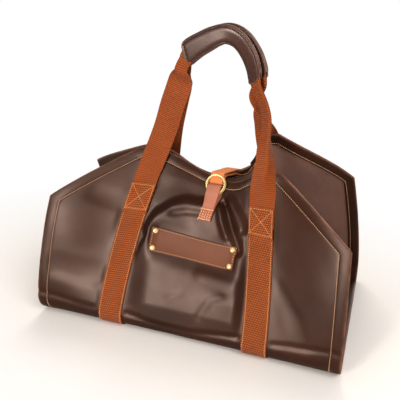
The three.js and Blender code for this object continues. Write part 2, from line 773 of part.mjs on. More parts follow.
function ringSolid(off, tilt) {
  const geometry = new THREE.TorusGeometry(ringRadius, wireRadius, ring.section, ring.around);
  const normal = new THREE.Vector3(0, offWall.x, offWall.y);
  const up = new THREE.Vector3(0, alongWall.x, alongWall.y);
  const right = new THREE.Vector3().crossVectors(up, normal);
  const put = new THREE.Matrix4().makeBasis(right, up, normal);
  put.multiply(new THREE.Matrix4().makeRotationX(tilt));
  geometry.applyMatrix4(put);
  const middle = closurePoint(0, off);
  return geometry.translate(ringMiddle.x, middle.x, middle.y);
}

const bag = new THREE.Group();
function add(name, geometry, look) {
  const mesh = new THREE.Mesh(geometry, new THREE.MeshStandardMaterial(look));
  mesh.name = name;
  bag.add(mesh);
}

const hidden = () => 0;
add('main_panel', drilled(layer(allRows, sheetColumns, sheetThickness, hidden)), finish.leather);
for (const [name, sideways] of [['left', -1], ['right', 1]]) {
  add(`belly_strap_${name}`, bellyStrap(sideways), finish.webbing);
}
for (const [name, side] of [['front', frontSide], ['back', backSide]]) {
  const pieces = handlePieces(name, side);
  add(`handle_webbing_${name}`, pieces.loop, finish.webbing);
  add(`grip_${name}`, pieces.sleeve, finish.gripLeather);
  add(`handle_end_${name}_left`, handleEnd(-1, side), finish.webbing);
  add(`handle_end_${name}_right`, handleEnd(1, side), finish.webbing);
}
const patchColumns = [-patchHalf, -patchHalf / 2, 0, patchHalf / 2, patchHalf];
const patchLayer = layer(
  rowsBetween(-patchTop, -patchBottom),
  () => patchColumns,
  () => patchOffset,
  () => patchOffset + patch.thickness,
);
add('name_patch', drilled(patchLayer), finish.tan);
for (const place of rivetPlaces) {
  add(`patch_rivet_${place.name}`, onRivet(rivetSolid(), place), finish.brass);
  add(`rivet_burr_${place.name}`, onRivet(burrSolid(), place), finish.brass);
}
add('ring_tab', strip(tabLine()), finish.tan);
add('closure_strap', strip(strapLine()), finish.tan);
add('ring_lower', ringSolid(lowerRing, 0), finish.brass);
add('ring_upper', ringSolid(upperRing, Math.asin(ring.tilt / ringRadius)), finish.brass);

// The origin stands under the middle of the whole bag
const bounds = new THREE.Box3().setFromObject(bag);
const middle = bounds.getCenter(new THREE.Vector3());
for (const mesh of bag.children) mesh.geometry.translate(-middle.x, -middle.y, -bounds.min.z);

export default bag;
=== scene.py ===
# Log bag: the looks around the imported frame.
# Lengths are in millimetres, as a maker writes them, and METRES turns a finished mesh into metres.
import json
import math

import bpy
import numpy as np
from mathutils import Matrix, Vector


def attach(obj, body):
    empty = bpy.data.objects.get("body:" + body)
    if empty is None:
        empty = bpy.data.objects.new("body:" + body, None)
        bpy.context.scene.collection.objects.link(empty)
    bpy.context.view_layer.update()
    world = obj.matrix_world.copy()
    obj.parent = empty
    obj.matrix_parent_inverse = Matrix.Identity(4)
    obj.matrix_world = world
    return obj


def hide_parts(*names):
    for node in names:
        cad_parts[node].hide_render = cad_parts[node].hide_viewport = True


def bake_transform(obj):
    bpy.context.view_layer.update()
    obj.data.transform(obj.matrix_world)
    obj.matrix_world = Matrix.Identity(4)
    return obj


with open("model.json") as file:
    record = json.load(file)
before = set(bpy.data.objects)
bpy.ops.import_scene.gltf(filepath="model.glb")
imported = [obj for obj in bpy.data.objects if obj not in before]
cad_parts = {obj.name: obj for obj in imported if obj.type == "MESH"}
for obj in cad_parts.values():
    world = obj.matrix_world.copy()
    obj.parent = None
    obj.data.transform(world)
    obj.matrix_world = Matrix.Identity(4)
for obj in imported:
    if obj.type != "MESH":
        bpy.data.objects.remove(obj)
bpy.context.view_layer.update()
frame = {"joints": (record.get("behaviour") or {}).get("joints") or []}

METRES = 0.001
TINY = 1e-9
WHITE = (1.0, 1.0, 1.0, 1.0)

# The bag's two walls, as the sign of their places along the sheet and of their side of the bag
FRONT = -1
BACK = 1

# The camera stands where the photograph was taken from; its frame is 400 pixels wide
CAMERA_EYE = (299.95, -842.4, 602.0)
CAMERA_TARGET = (-10.56, 0.0, 183.93)
CAMERA_LENS_MM = 54.0
CAMERA_SENSOR_MM = 36.0

# The leather sheet as it is cut flat; lengths along it run from the middle of the base
SHEET_WIDTH = 500.0
HALF_LENGTH = 431.0
LEATHER = 2.2
HEM = 20.0
STITCH_IN = 16.8
CORNER_ACROSS = 105.0
CORNER_UP = 90.0
CORNER_START = HALF_LENGTH - CORNER_UP
CORNER_SLOPE = CORNER_ACROSS / CORNER_UP
CORNER_SLANT = math.hypot(CORNER_ACROSS, CORNER_UP) / CORNER_UP

# The bag as it stands; leans and curves are in degrees, from its left end to its right one
HALF_DEPTH = 138.0
END_SPREAD = 11.0
EDGE_RADIUS = 18.0
END_EXTRA_RADIUS = 12.0
FRONT_DROP = 13.0
BACK_RISE = 34.0
FRONT_LEAN = (23, 27, 30.3, 26, 20)
BACK_LEAN = (26, 28.2, 32.6, 24, 18.5)
WALL_CURVE = (12, 2, 4, 2, 10)
SKEW_SHARE = 0.038

# How the top edges are drawn together and dip between the straps
PULL = {
    FRONT: {
        "gather": 31, "end": 14, "drift": 7, "dip": 28, "from": -135, "full": 36, "until": 44, "to": 145,
    },
    BACK: {
        "gather": 41, "end": 26, "drift": 3, "dip": 66, "from": -170, "full": 75, "until": 85, "to": 125,
    },
}
MIDDLE_POWER = 2.0
STRAP_POWER = 8.0
GATHER_POWER = 1.5
DRIFT_POWER = 3
EVEN_FROM_SHARE = 0.5

# Webbing and its sewn boxes
STRAP = 40.0
STRAP_THICK = 2.0
STRAP_AT = 120.0
STRAP_INNER = STRAP_AT - STRAP / 2
CLEAR = 0.3
BOX_TOP = HALF_LENGTH - 58.0
BOX_HEIGHT = 44.0
BOX_BOTTOM = BOX_TOP - BOX_HEIGHT
RAMP_BELOW = 7.0
RAMP_STOP = 1.0
FLOOR = STRAP_THICK + CLEAR

# The name patch
PATCH_HALF = 71.5
PATCH_TALL = 42.0
PATCH_THICK = 2.2
PATCH_MIDDLE = 288.0
RIVET_INSET = 6.5
RIVET_HEAD = 8.0
RIVET_RISE = 1.8


def smooth(x, low, high):
    """From zero at low to one at high, flat at both."""
    share = np.clip((np.asarray(x, float) - low) / (high - low), 0, 1)
    return share * share * (3 - 2 * share)


def mix(a, b, share):
    """The value that lies that share of the way from a to b."""
    return a * (1 - share) + b * share


def unit(v):
    return v / np.maximum(TINY, np.linalg.norm(v, axis=-1, keepdims=True))


def hill(x, middle, half):
    """A soft rise of one at the middle that ends at half a width from it."""
    share = np.clip(np.abs(np.asarray(x, float) - middle) / half, 0, 1)
    return (1 - share * share) ** 2


# The sheet's outer face, as the frame has it
def along_bag(stations, u):
    """A value that changes from the bag's left end to its right one, given at even stations."""
    values = np.array(stations, float)
    place = (u / SHEET_WIDTH + 0.5) * (len(values) - 1)
    first = np.clip(np.floor(place), 0, len(values) - 2).astype(int)
    return mix(values[first], values[first + 1], smooth(place - first, 0, 1))


def by_side(side, key):
    return np.where(side < 0, PULL[FRONT][key], PULL[BACK][key]).astype(float)


def plain_point(u, a):
    """A point of the sheet's outer face, u across it and a along it, with a below zero at the front."""
    u, a = np.broadcast_arrays(np.asarray(u, float), np.asarray(a, float))
    side = np.where(a < 0, -1.0, 1.0)
    s = np.abs(a)
    out = np.minimum(1, np.abs(u) / (SHEET_WIDTH / 2)) ** 2
    radius = EDGE_RADIUS + END_EXTRA_RADIUS * out
    flat = HALF_DEPTH + END_SPREAD * out - radius
    lean = np.radians(np.where(side < 0, along_bag(FRONT_LEAN, u), along_bag(BACK_LEAN, u)))
    curve = np.radians(along_bag(WALL_CURVE, u))
    start = math.pi / 2 + lean - curve
    wall_start = flat + radius * start
    wall_length = HALF_LENGTH - wall_start
    turn = np.clip(s - flat, 0, radius * start) / radius
    foot = np.where(s <= flat, s, flat + radius * np.sin(turn))
    foot_height = FLOOR + radius * (1 - np.cos(turn))
    share = np.clip((s - wall_start) / wall_length, 0, None)
    slip = smooth(u, -STRAP_AT, STRAP_AT) * np.where(side < 0, -FRONT_DROP, BACK_RISE)
    falls = smooth(u, by_side(side, "from"), by_side(side, "full"))
    rises = smooth(u, by_side(side, "until"), by_side(side, "to"))
    beside = np.clip((np.abs(u) - PATCH_HALF) / (STRAP_INNER - PATCH_HALF), 0, 1)
    dip = by_side(side, "dip") * falls * (1 - rises) * share ** mix(MIDDLE_POWER, STRAP_POWER, beside)
    up = wall_length * share + slip * share - dip
    half_turn = curve * up / wall_length
    chord = up * np.sinc(half_turn / math.pi)
    heading = start + half_turn
    between = np.minimum(1, np.abs(u) / STRAP_AT)
    beside = np.clip((np.abs(u) - PATCH_HALF) / (STRAP_AT - PATCH_HALF), 0, 1)
    spread = mix(beside, between, smooth(share, EVEN_FROM_SHARE, 1))
    outside = np.clip((np.abs(u) - STRAP_AT) / (SHEET_WIDTH / 2 - STRAP_AT), 0, 1)
    gather = mix(by_side(side, "gather"), by_side(side, "end"), outside) * spread
    skew = SKEW_SHARE * outside * np.maximum(0, a + HALF_DEPTH)
    drift = by_side(side, "drift") * share**DRIFT_POWER * (1 - outside)
    x = u + drift - np.sign(u) * gather * share**GATHER_POWER - skew
    y = side * (foot + chord * np.cos(heading))
    z = foot_height + chord * np.sin(heading)
    return np.stack([x, y, z], -1)


def face_normal(point_at, u, a):
    """Outward normal of a face given by point_at, by small steps that stay on one wall."""
    u, a = np.broadcast_arrays(np.asarray(u, float), np.asarray(a, float))
    step = 0.5
    low = np.where(a < 0, a, a - step)
    along = point_at(u, low + step) - point_at(u, low)
    across = point_at(u + step, a) - point_at(u - step, a)
    return unit(np.cross(along, across))


# The frame's origin stands under the middle of the whole bag
CENTRE_SHIFT = np.array([6.05, 0.0, 0.0])

# Soft folds of the leather beyond the frame's form: rise, half width on the left and on the right
# of the line, and the line's places (u, s)
FRONT_FOLDS = (
    (-0.8, 26, 30, ((-94, 366), (-62, 378), (-20, 384), (8, 388))),
    (7.0, 17, 66, ((-76, 300), (-64, 328), (-46, 351), (-28, 363), (-2, 370))),
    (-1.4, 9, 11, ((-44, 340), (-22, 350), (2, 356))),
    (3.5, 12, 9, ((54, 322), (41, 350), (34, 374))),
    (-4.5, 10, 14, ((76, 296), (66, 322), (52, 352), (40, 380))),
    (4.5, 16, 18, ((78, 334), (66, 360), (54, 388))),
    (1.4, 26, 26, ((24, 246), (66, 236))),
    (-0.8, 9, 13, ((30, 180), (40, 208), (58, 220))),
    (-0.5, 9, 11, ((-28, 196), (-8, 212))),
    (-2.6, 6, 8, ((-100, 160), (-80, 157), (-50, 153), (11, 152), (58, 155), (97, 162))),
    (-1.6, 6, 8, ((143, 168), (200, 176), (252, 184))),
    (-1.6, 6, 8, ((-250, 178), (-200, 170), (-142, 163))),
    (1.4, 34, 34, ((-216, 190), (-148, 180))),
    (-1.4, 34, 34, ((-220, 226), (-146, 218))),
    (1.4, 60, 60, ((-214, 296), (-158, 312))),
    (-1.0, 24, 24, ((-184, 350), (-146, 338))),
    (0.8, 46, 46, ((168, 330), (210, 250), (232, 200))),
    (-0.8, 16, 22, ((148, 262), (180, 214), (196, 178))),
)
BACK_FOLDS = (
    (-6.0, 30, 30, ((-90, 356), (-40, 380), (20, 378))),
    (5.0, 34, 34, ((-64, 320), (-10, 332), (50, 312))),
    (-3.5, 14, 14, ((-20, 386), (-34, 352), (-66, 318))),
    (4.0, 12, 14, ((-4, 384), (-16, 350), (-44, 314))),
    (-2.2, 6, 8, ((-98, 158), (-40, 152), (30, 150), (97, 158))),
    (-1.6, 6, 8, ((-143, 165), (-250, 178))),
    (3.5, 16, 18, ((60, 380), (40, 345), (48, 310))),
    (2.5, 50, 50, ((200, 190), (165, 180))),
    (-2.0, 55, 55, ((-205, 245), (-170, 320))),
)
# The sheet stands out like a cushion between the straps: rise, and how far its left and right flanks
# reach; then its share of the rise by the length s
FRONT_CUSHION = (6.0, 42, 20)
BACK_CUSHION = (5.0, 30, 30)
CUSHION_UP_SHARES = (
    (150, 0), (160, 0.25), (182, 0.85), (208, 1), (240, 0.9), (280, 0.55), (320, 0.3), (370, 0.25),
    (HALF_LENGTH, 0),
)

# Where the folds die out: under the patch, beside and under the straps, and on the base
PATCH_MARGIN = 8.0
PATCH_EASE = 22.0
PATCH_FLATTENS_SHARE = 0.8
STRAP_EASE = 9.0
SEWN_MARGIN = 1.0
LOOSE_MARGIN = 6.0
INNER_CREEP = 7.0
OUTER_CREEP = -2.0
CREEP_FROM = 180.0
CREEP_TO = 400.0
BASE_STILL = 30.0
BASE_FREE = 12.0
BROAD_FOLD = 24.0


def line_distance(u, s, line):
    """The distance of places (u, s) from a line of points, negative on its right."""
    best = np.full(np.broadcast(u, s).shape, 1e9)
    for (u0, s0), (u1, s1) in zip(line[:-1], line[1:]):
        long = (u1 - u0) ** 2 + (s1 - s0) ** 2
        along = np.clip(((u - u0) * (u1 - u0) + (s - s0) * (s1 - s0)) / long, 0, 1)
        gap = np.hypot(u - u0 - along * (u1 - u0), s - s0 - along * (s1 - s0))
        turn = (u1 - u0) * (s - s0) - (s1 - s0) * (u - u0)
        best = np.where(gap < np.abs(best), np.where(turn < 0, -gap, gap), best)
    return best


def fold_shape(distance, left, right):
    """A fold's height across it: a narrow one has a sharper crest than a broad swell."""
    half = np.where(distance < 0, right, left).astype(float)
    soft = 0.3 * min(left, right) * (1 if min(left, right) < BROAD_FOLD else 1.8)
    share = np.clip((np.hypot(distance, soft) - soft) / (half - soft), 0, 1)
    return (1 - share * share * (3 - 2 * share)) * 0.5 + 0.5 * (1 - share) ** 2


def ripples(u, a):
    """Slow unevenness of the hide."""
    wave = 0.35 * np.sin(u / 23 + 1.1) * np.sin(a / 31 + 0.4)
    wave += 0.18 * np.sin(u / 14 - a / 37 + 2.0) + 0.2 * np.sin(u / 41 + a / 17 + 0.7)
    return wave


def folds(u, a):
    """How far the leather stands out from the frame's form."""
    s = np.abs(a)
    total = ripples(u, a)
    bent_u = u + 1.6 * np.sin(s / 23 + 0.7) + 0.5 * np.sin(s / 9 + u / 31)
    bent_s = s + 1.6 * np.sin(u / 25 + 1.9) + 0.5 * np.sin(u / 10 + s / 27)
    upright = np.interp(s, *zip(*CUSHION_UP_SHARES))
    for rows, cushion, here in ((FRONT_FOLDS, FRONT_CUSHION, a < 0), (BACK_FOLDS, BACK_CUSHION, a >= 0)):
        rise, left, right = cushion
        flanks = smooth(u, -STRAP_INNER, left - STRAP_INNER) * smooth(-u, -STRAP_INNER, right - STRAP_INNER)
        part = rise * flanks * upright
        for rise, left, right, line in rows:
            part = part + rise * fold_shape(line_distance(bent_u, bent_s, line), left, right)
        total = total + np.where(here, part, 0)
    on_patch = smooth(PATCH_HALF + PATCH_MARGIN - np.abs(u), 0, PATCH_EASE)
    on_patch = on_patch * hill(s, PATCH_MIDDLE, PATCH_TALL)
    total = total * (1 - PATCH_FLATTENS_SHARE * np.where(a < 0, on_patch, 0))
    creep = np.where(np.abs(u) < STRAP_AT, INNER_CREEP, OUTER_CREEP) * smooth(s, CREEP_FROM, CREEP_TO)
    beside = np.abs(np.abs(u) - STRAP_AT) - STRAP / 2 - creep
    margin = np.where(s < BOX_TOP + 14, SEWN_MARGIN, LOOSE_MARGIN)
    standing = smooth(s, HALF_DEPTH - BASE_STILL, HALF_DEPTH + BASE_FREE)
    return total * smooth(beside, -margin, STRAP_EASE) * standing


def face_point(u, a):
    """A point of the dressed leather's outer face."""
    u, a = np.broadcast_arrays(np.asarray(u, float), np.asarray(a, float))
    normal = face_normal(plain_point, u, a)
    return plain_point(u, a) + normal * folds(u, a)[..., None] + CENTRE_SHIFT


def on_sheet(u, a, offset):
    """A point that far off the dressed leather's outer face."""
    return face_point(u, a) + face_normal(face_point, u, a) * np.asarray(offset, float)[..., None]


# Meshes
# How far inside an edge the rim colour reaches; on the dark and grip hides that colour is a painted
# highlight
RIM_REACH = 2.5


def new_object(name, points, faces, uv=None, attributes=None, materials=(), face_material=None):
    """A smooth mesh object from points in millimetres, with its faces turned outwards."""
    points = np.asarray(points, float).reshape(-1, 3)
    faces = [tuple(int(i) for i in f) for f in faces]
    volume = 0.0
    for n in (3, 4):
        some = np.array([f for f in faces if len(f) == n])
        for k in range(1, n - 1) if len(some) else ():
            p, q, r = points[some[:, 0]], points[some[:, k]], points[some[:, k + 1]]
            volume += float((p * np.cross(q, r)).sum())
    if volume < 0:
        faces = [f[::-1] for f in faces]
    mesh = bpy.data.meshes.new(name)
    mesh.from_pydata((points * METRES).tolist(), [], faces)
    mesh.polygons.foreach_set("use_smooth", [True] * len(faces))
    if uv is not None:
        layer = mesh.uv_layers.new(name="flat")
        loops = np.zeros(len(mesh.loops), dtype=int)
        mesh.loops.foreach_get("vertex_index", loops)
        layer.data.foreach_set("uv", (np.asarray(uv, float)[loops] * METRES).ravel())
    for key, values in (attributes or {}).items():
        layer = mesh.attributes.new(key, "FLOAT", "POINT")
        layer.data.foreach_set("value", np.asarray(values, np.float32).ravel())
    for material in materials:
        mesh.materials.append(material)
    if face_material is not None:
        mesh.polygons.foreach_set("material_index", list(face_material))
    mesh.update()
    obj = bpy.data.objects.new(name, mesh)
    bpy.context.scene.collection.objects.link(obj)
    return obj


def two_faces(name, outer, inner, uv, attributes, materials, inner_material=None):
    """A closed layer from two grids of points whose borders lie on each other."""
    rows, columns = outer.shape[:2]
    index = np.arange(rows * columns).reshape(rows, columns)
    back = index.copy()
    back[1:-1, 1:-1] = rows * columns + np.arange((rows - 2) * (columns - 2)).reshape(rows - 2, -1)
    points = np.concatenate([outer.reshape(-1, 3), inner[1:-1, 1:-1].reshape(-1, 3)])
    flat = np.concatenate([uv.reshape(-1, 2), uv[1:-1, 1:-1].reshape(-1, 2)])
    extra = {}
    for key, (front_values, back_values) in attributes.items():
        extra[key] = np.concatenate([front_values.ravel(), back_values[1:-1, 1:-1].ravel()])
    faces = []
    slots = []
    for grid, turn in ((index, 1), (back, -1)):
        quads = np.stack([grid[:-1, :-1], grid[:-1, 1:], grid[1:, 1:], grid[1:, :-1]], -1).reshape(-1, 4)
        faces.extend(quads[:, ::turn].tolist())
        if turn > 0 or inner_material is None:
            slots.extend([0] * len(quads))
        else:
            slots.extend(inner_material.ravel().tolist())
    return new_object(name, points, faces, flat, extra, materials, slots)


def grid_normal(middle):
    """The normals of a grid of points, whose rows run upwards and whose columns run to the right."""
    return unit(np.cross(np.gradient(middle, axis=1), np.gradient(middle, axis=0)))


def slab(name, middle, thick, uv, materials, rim_colouring=0.0):
    """A layer with rounded edges from a grid of points on its middle face. The last argument is how far
    the hide's rim colour reaches inside its edges, from zero to one."""
    middle = np.asarray(middle, float)
    normal = grid_normal(middle)
    wide = np.cumsum(np.linalg.norm(np.diff(middle, axis=1, prepend=middle[:, :1]), axis=-1), axis=1)
    long = np.cumsum(np.linalg.norm(np.diff(middle, axis=0, prepend=middle[:1]), axis=-1), axis=0)
    edge = np.minimum(np.minimum(wide, wide[:, -1:] - wide), np.minimum(long, long[-1:] - long))
    half = thick / 2 * np.sqrt(np.clip(1 - (1 - np.clip(2 * edge / thick, 0, 1)) ** 2, 0, 1))
    half[0], half[-1], half[:, 0], half[:, -1] = 0, 0, 0, 0
    grids = [middle + sign * half[..., None] * normal for sign in (1, -1)]
    rim = np.maximum(1 - smooth(edge, 0, RIM_REACH), rim_colouring)
    return two_faces(name, grids[0], grids[1], uv, {"rim": (rim, rim)}, materials)


def with_edges(places, thick):
    """The row of places with more of them close to its two ends, for rounded edges."""
    near = np.array([0, 0.08, 0.3, 0.65, 1.0]) * thick / 2
    inside = places[(places > places[0] + thick * 0.6) & (places < places[-1] - thick * 0.6)]
    return np.concatenate([places[0] + near, inside, places[-1] - near[::-1]])


def folded_profile(places, folding, fold_side):
    """Places across a strap with one half turned back behind the other by an angle."""
    width = places[-1] - places[0]
    heading = -folding * smooth(places, -0.08 * width, 0.08 * width)
    middle = (heading[1:] + heading[:-1]) / 2
    x = np.concatenate([[0], np.cumsum(np.diff(places) * np.cos(middle))])
    y = np.concatenate([[0], np.cumsum(np.diff(places) * np.sin(middle))])
    if fold_side < 0:
        x, y = -x[::-1], y[::-1]
    return x - (x.min() + x.max()) / 2, y - (y.min() + y.max()) / 2


def ribbon(name, points, outs, material, folding, fold_side, held):
    """Webbing along points, its outer face towards outs. folding is the angle by which one half
    is turned back behind the other, and held is the way across where something holds the strap."""
    tangents = unit(np.gradient(points, axis=0))
    across = unit(np.cross(tangents, outs))
    outs = np.cross(across, tangents)
    share = np.linalg.norm(held, axis=1, keepdims=True)
    sign = np.sign((held * across).sum(1, keepdims=True))
    across = across * (1 - np.clip(share, 0, 1)) + held * sign
    places = np.concatenate([np.linspace(-STRAP / 2, STRAP / 2, 13), np.linspace(-0.1, 0.1, 9) * STRAP])
    places = with_edges(np.unique(np.round(places, 4)), STRAP_THICK)
    middle = []
    for i, point in enumerate(points):
        x, y = folded_profile(places, folding[i], fold_side)
        middle.append(point + x[:, None] * across[i] + y[:, None] * outs[i])
    long = np.concatenate([[0], np.cumsum(np.linalg.norm(np.diff(points, axis=0), axis=1))])
    uv = np.stack(np.broadcast_arrays(places[None, :], long[:, None]), -1)
    return slab(name, middle, STRAP_THICK, uv, [material])


def torus_faces(rows, around):
    """The faces of a grid of points that closes on itself both ways."""
    index = np.arange(rows * around).reshape(rows, around)
    following, after = np.roll(index, -1, axis=1), np.roll(index, -1, axis=0)
    return np.stack([index, following, np.roll(following, -1, axis=0), after], -1).reshape(-1, 4).tolist()


def catmull(points, count):
    """An even row of points on a smooth curve through the given ones."""
    p = np.asarray(points, float)
    p = np.concatenate([[2 * p[0] - p[1]], p, [2 * p[-1] - p[-2]]])
    made = []
    for i in range(1, len(p) - 2):
        knots = [0.0]
        for j in range(i - 1, i + 2):
            knots.append(knots[-1] + np.linalg.norm(p[j + 1] - p[j]) ** 0.5)
        t = np.linspace(knots[1], knots[2], 40, endpoint=False)[:, None]
        level = [p[i - 1 + k] for k in range(4)]
        for reach in (1, 2):
            level = [
                mix(level[k], level[k + 1], (t - knots[k]) / (knots[k + reach] - knots[k]))
                for k in range(4 - reach)
            ]
        made.append(mix(level[0], level[1], (t - knots[1]) / (knots[2] - knots[1])))
    line = np.concatenate([*made, [p[-2]]])
    long = np.concatenate([[0], np.cumsum(np.linalg.norm(np.diff(line, axis=0), axis=1))])
    even = np.linspace(0, long[-1], count)
    return np.stack([np.interp(even, long, line[:, k]) for k in range(line.shape[1])], -1)


def eased_row(values, passes=6):
    """The row with its kinks eased, its ends kept."""
    row = np.array(values, float)
    for _ in range(passes):
        row[1:-1] = (row[:-2] + 2 * row[1:-1] + row[2:]) / 4
    return row


# Shader building blocks
VECTOR = "NodeSocketVector"
FLOAT = "NodeSocketFloat"
GEOMETRY = "NodeSocketGeometry"


def node(tree, kind, inputs=None, **settings):
    """A new node; an input is a value or the socket that feeds it."""
    made = tree.nodes.new(kind)
    for key, value in settings.items():
        setattr(made, key, value)
    for key, value in (inputs or {}).items():
        if isinstance(value, bpy.types.NodeSocket):
            tree.links.new(value, made.inputs[key])
        else:
            made.inputs[key].default_value = value
    return made


def maths(tree, operation, first, second=0.0):
    return node(tree, "ShaderNodeMath", {0: first, 1: second}, operation=operation).outputs[0]


def vector_maths(tree, operation, inputs, output=0):
    return node(tree, "ShaderNodeVectorMath", inputs, operation=operation).outputs[output]


def noise(tree, place, scale, detail):
    return node(tree, "ShaderNodeTexNoise", {"Vector": place, "Scale": scale, "Detail": detail}).outputs


def spread(tree, value, low, high, to_low=0.0, to_high=1.0):
    inputs = {"Value": value, "From Min": low, "From Max": high, "To Min": to_low, "To Max": to_high}
    return node(tree, "ShaderNodeMapRange", inputs).outputs["Result"]


def mixed(tree, share, first, second):
    """A colour that lies that share of the way from the first to the second."""
    return node(tree, "ShaderNodeMix", {0: share, 6: first, 7: second}, data_type="RGBA").outputs[2]


def group(name, inputs, outputs, kind="ShaderNodeTree"):
    """A node group with named sockets; returns the tree and its input sockets by name."""
    tree = bpy.data.node_groups.new(name, kind)
    for key, socket_type, value in inputs:
        socket = tree.interface.new_socket(key, in_out="INPUT", socket_type=socket_type)
        if value is not None:
            socket.default_value = value
    for key, socket_type in outputs:
        tree.interface.new_socket(key, in_out="OUTPUT", socket_type=socket_type)
    return tree, tree.nodes.new("NodeGroupInput").outputs


def put_out(tree, values):
    last = tree.nodes.new("NodeGroupOutput")
    for key, value in values.items():
        tree.links.new(value, last.inputs[key])


def use_group(tree, made, inputs):
    return node(tree, "ShaderNodeGroup", inputs, node_tree=made).outputs


def grain_group():
    """Hide grain: small closed cells with creases between them, and their unevenness."""
    tree, given = group(
        "Hide grain",
        [("Place", VECTOR, None), ("Cells", FLOAT, 700.0), ("Unevenness", FLOAT, 0.5)],
        [("Height", FLOAT), ("Creases", FLOAT)],
    )
    bent = noise(tree, given["Place"], 260.0, 2.0)
    shift = vector_maths(tree, "SCALE", {0: bent["Color"], "Scale": 0.0016})
    place = vector_maths(tree, "ADD", {0: given["Place"], 1: shift})
    cells = node(
        tree,
        "ShaderNodeTexVoronoi",
        {"Vector": place, "Scale": given["Cells"], "Randomness": 0.9},
        feature="DISTANCE_TO_EDGE",
    )
    creases = spread(tree, cells.outputs["Distance"], 0.0, 0.22, 1.0, 0.0)
    slow = noise(tree, given["Place"], 90.0, 4.0)
    uneven = maths(tree, "MULTIPLY", slow["Fac"], given["Unevenness"])
    height = maths(tree, "SUBTRACT", uneven, maths(tree, "MULTIPLY", creases, 0.35))
    put_out(tree, {"Height": height, "Creases": creases})
    return tree


def mottle_group():
    """Slow change of colour over a surface, from two sizes of cloud."""
    tree, given = group(
        "Mottle",
        [("Place", VECTOR, None), ("Large", FLOAT, 9.0), ("Small", FLOAT, 60.0), ("Sharpness", FLOAT, 0.25)],
        [("Cloud", FLOAT), ("Flecks", FLOAT)],
    )
    cloud = noise(tree, given["Place"], given["Large"], 3.0)
    flecks = noise(tree, given["Place"], given["Small"], 6.0)
    low = maths(tree, "SUBTRACT", 0.5, given["Sharpness"])
    high = maths(tree, "ADD", 0.5, given["Sharpness"])
    put_out(
        tree,
        {"Cloud": spread(tree, cloud["Fac"], low, high), "Flecks": spread(tree, flecks["Fac"], low, high)},
    )
    return tree


def weave_group():
    """Webbing: ribs across the strap, each broken into yarns; offset turns ribs into a twill."""
    tree, given = group(
        "Webbing weave",
        [
            ("Place", VECTOR, None),
            ("Rib pitch", FLOAT, 0.0024),
            ("Yarn pitch", FLOAT, 0.0016),
            ("Offset", FLOAT, 0.0),
            ("Yarn depth", FLOAT, 0.3),
        ],
        [("Height", FLOAT)],
    )
    parts = node(tree, "ShaderNodeSeparateXYZ", {0: given["Place"]}).outputs
    jitter = noise(tree, given["Place"], 320.0, 1.0)
    wobble = maths(tree, "MULTIPLY", maths(tree, "SUBTRACT", jitter["Fac"], 0.5), 0.0011)
    along = maths(tree, "ADD", parts["Y"], wobble)
    across = maths(tree, "ADD", parts["X"], wobble)
    rib = maths(tree, "DIVIDE", along, given["Rib pitch"])
    row = maths(tree, "FLOOR", rib)
    slid = maths(tree, "ADD", across, maths(tree, "MULTIPLY", row, given["Offset"]))
    yarn = maths(tree, "DIVIDE", slid, given["Yarn pitch"])
    rib_wave = maths(tree, "SINE", maths(tree, "MULTIPLY", maths(tree, "FRACT", rib), math.pi))
    yarn_wave = maths(tree, "ABSOLUTE", maths(tree, "SINE", maths(tree, "MULTIPLY", yarn, math.pi)))
    deep = maths(tree, "MULTIPLY", maths(tree, "SUBTRACT", 1.0, yarn_wave), given["Yarn depth"])
    height = maths(tree, "SUBTRACT", maths(tree, "POWER", rib_wave, 0.6), deep)
    put_out(tree, {"Height": height})
    return tree


GRAIN = grain_group()
MOTTLE = mottle_group()
WEAVE = weave_group()


def new_material(name):
    made = bpy.data.materials.new(name)
    made.use_nodes = True
    tree = made.node_tree
    tree.nodes.clear()
    shader = node(tree, "ShaderNodeBsdfPrincipled")
    out = node(tree, "ShaderNodeOutputMaterial")
    tree.links.new(shader.outputs[0], out.inputs["Surface"])
    return made, tree, shader


def link(tree, source, shader, key):
    tree.links.new(source, shader.inputs[key])


def bumped(tree, height, strength, distance):
    return node(
        tree, "ShaderNodeBump", {"Height": height, "Strength": strength, "Distance": distance}
    ).outputs["Normal"]


def flat_place(tree):
    return node(tree, "ShaderNodeUVMap", uv_map="flat").outputs["UV"]


def leather(name, dark, light, rim_colouring, roughness, cells=620.0, grain=0.25, coat=0.0):
    """Smooth hide: mottled brown, fine grain, and its rim colour where it is folded over: a painted
    highlight on the dark hides, a darker edge on the tan ones.
    """
    made, tree, shader = new_material(name)
    place = flat_place(tree)
    fine = use_group(tree, GRAIN, {"Place": place, "Cells": cells, "Unevenness": 0.6})
    tone = use_group(tree, MOTTLE, {"Place": place, "Large": 7.0, "Small": 45.0, "Sharpness": 0.22})
    colour = mixed(tree, tone["Cloud"], dark, light)
    colour = mixed(tree, maths(tree, "MULTIPLY", tone["Flecks"], 0.12), colour, light)
    # The rim attribute brings in the rim colour: a painted highlight on the dark and grip hides, a darker
    # edge on the tan ones
    rim = node(tree, "ShaderNodeAttribute", attribute_name="rim").outputs["Fac"]
    rim_share = maths(tree, "MULTIPLY", rim, spread(tree, tone["Flecks"], 0.1, 0.9, 0.35, 1.0))
    colour = mixed(tree, rim_share, colour, rim_colouring)
    colour = mixed(tree, maths(tree, "MULTIPLY", fine["Creases"], 0.12), colour, dark)
    link(tree, colour, shader, "Base Color")
    rough = spread(tree, tone["Flecks"], 0.0, 1.0, roughness - 0.02, roughness + 0.04)
    link(tree, rough, shader, "Roughness")
    link(tree, bumped(tree, fine["Height"], grain, 0.0004), shader, "Normal")
    shader.inputs["Specular IOR Level"].default_value = 0.42
    shader.inputs["Specular Tint"].default_value = (1.0, 0.74, 0.62, 1.0)
    shader.inputs["Coat Weight"].default_value = coat
    shader.inputs["Coat Roughness"].default_value = 0.3
    return made


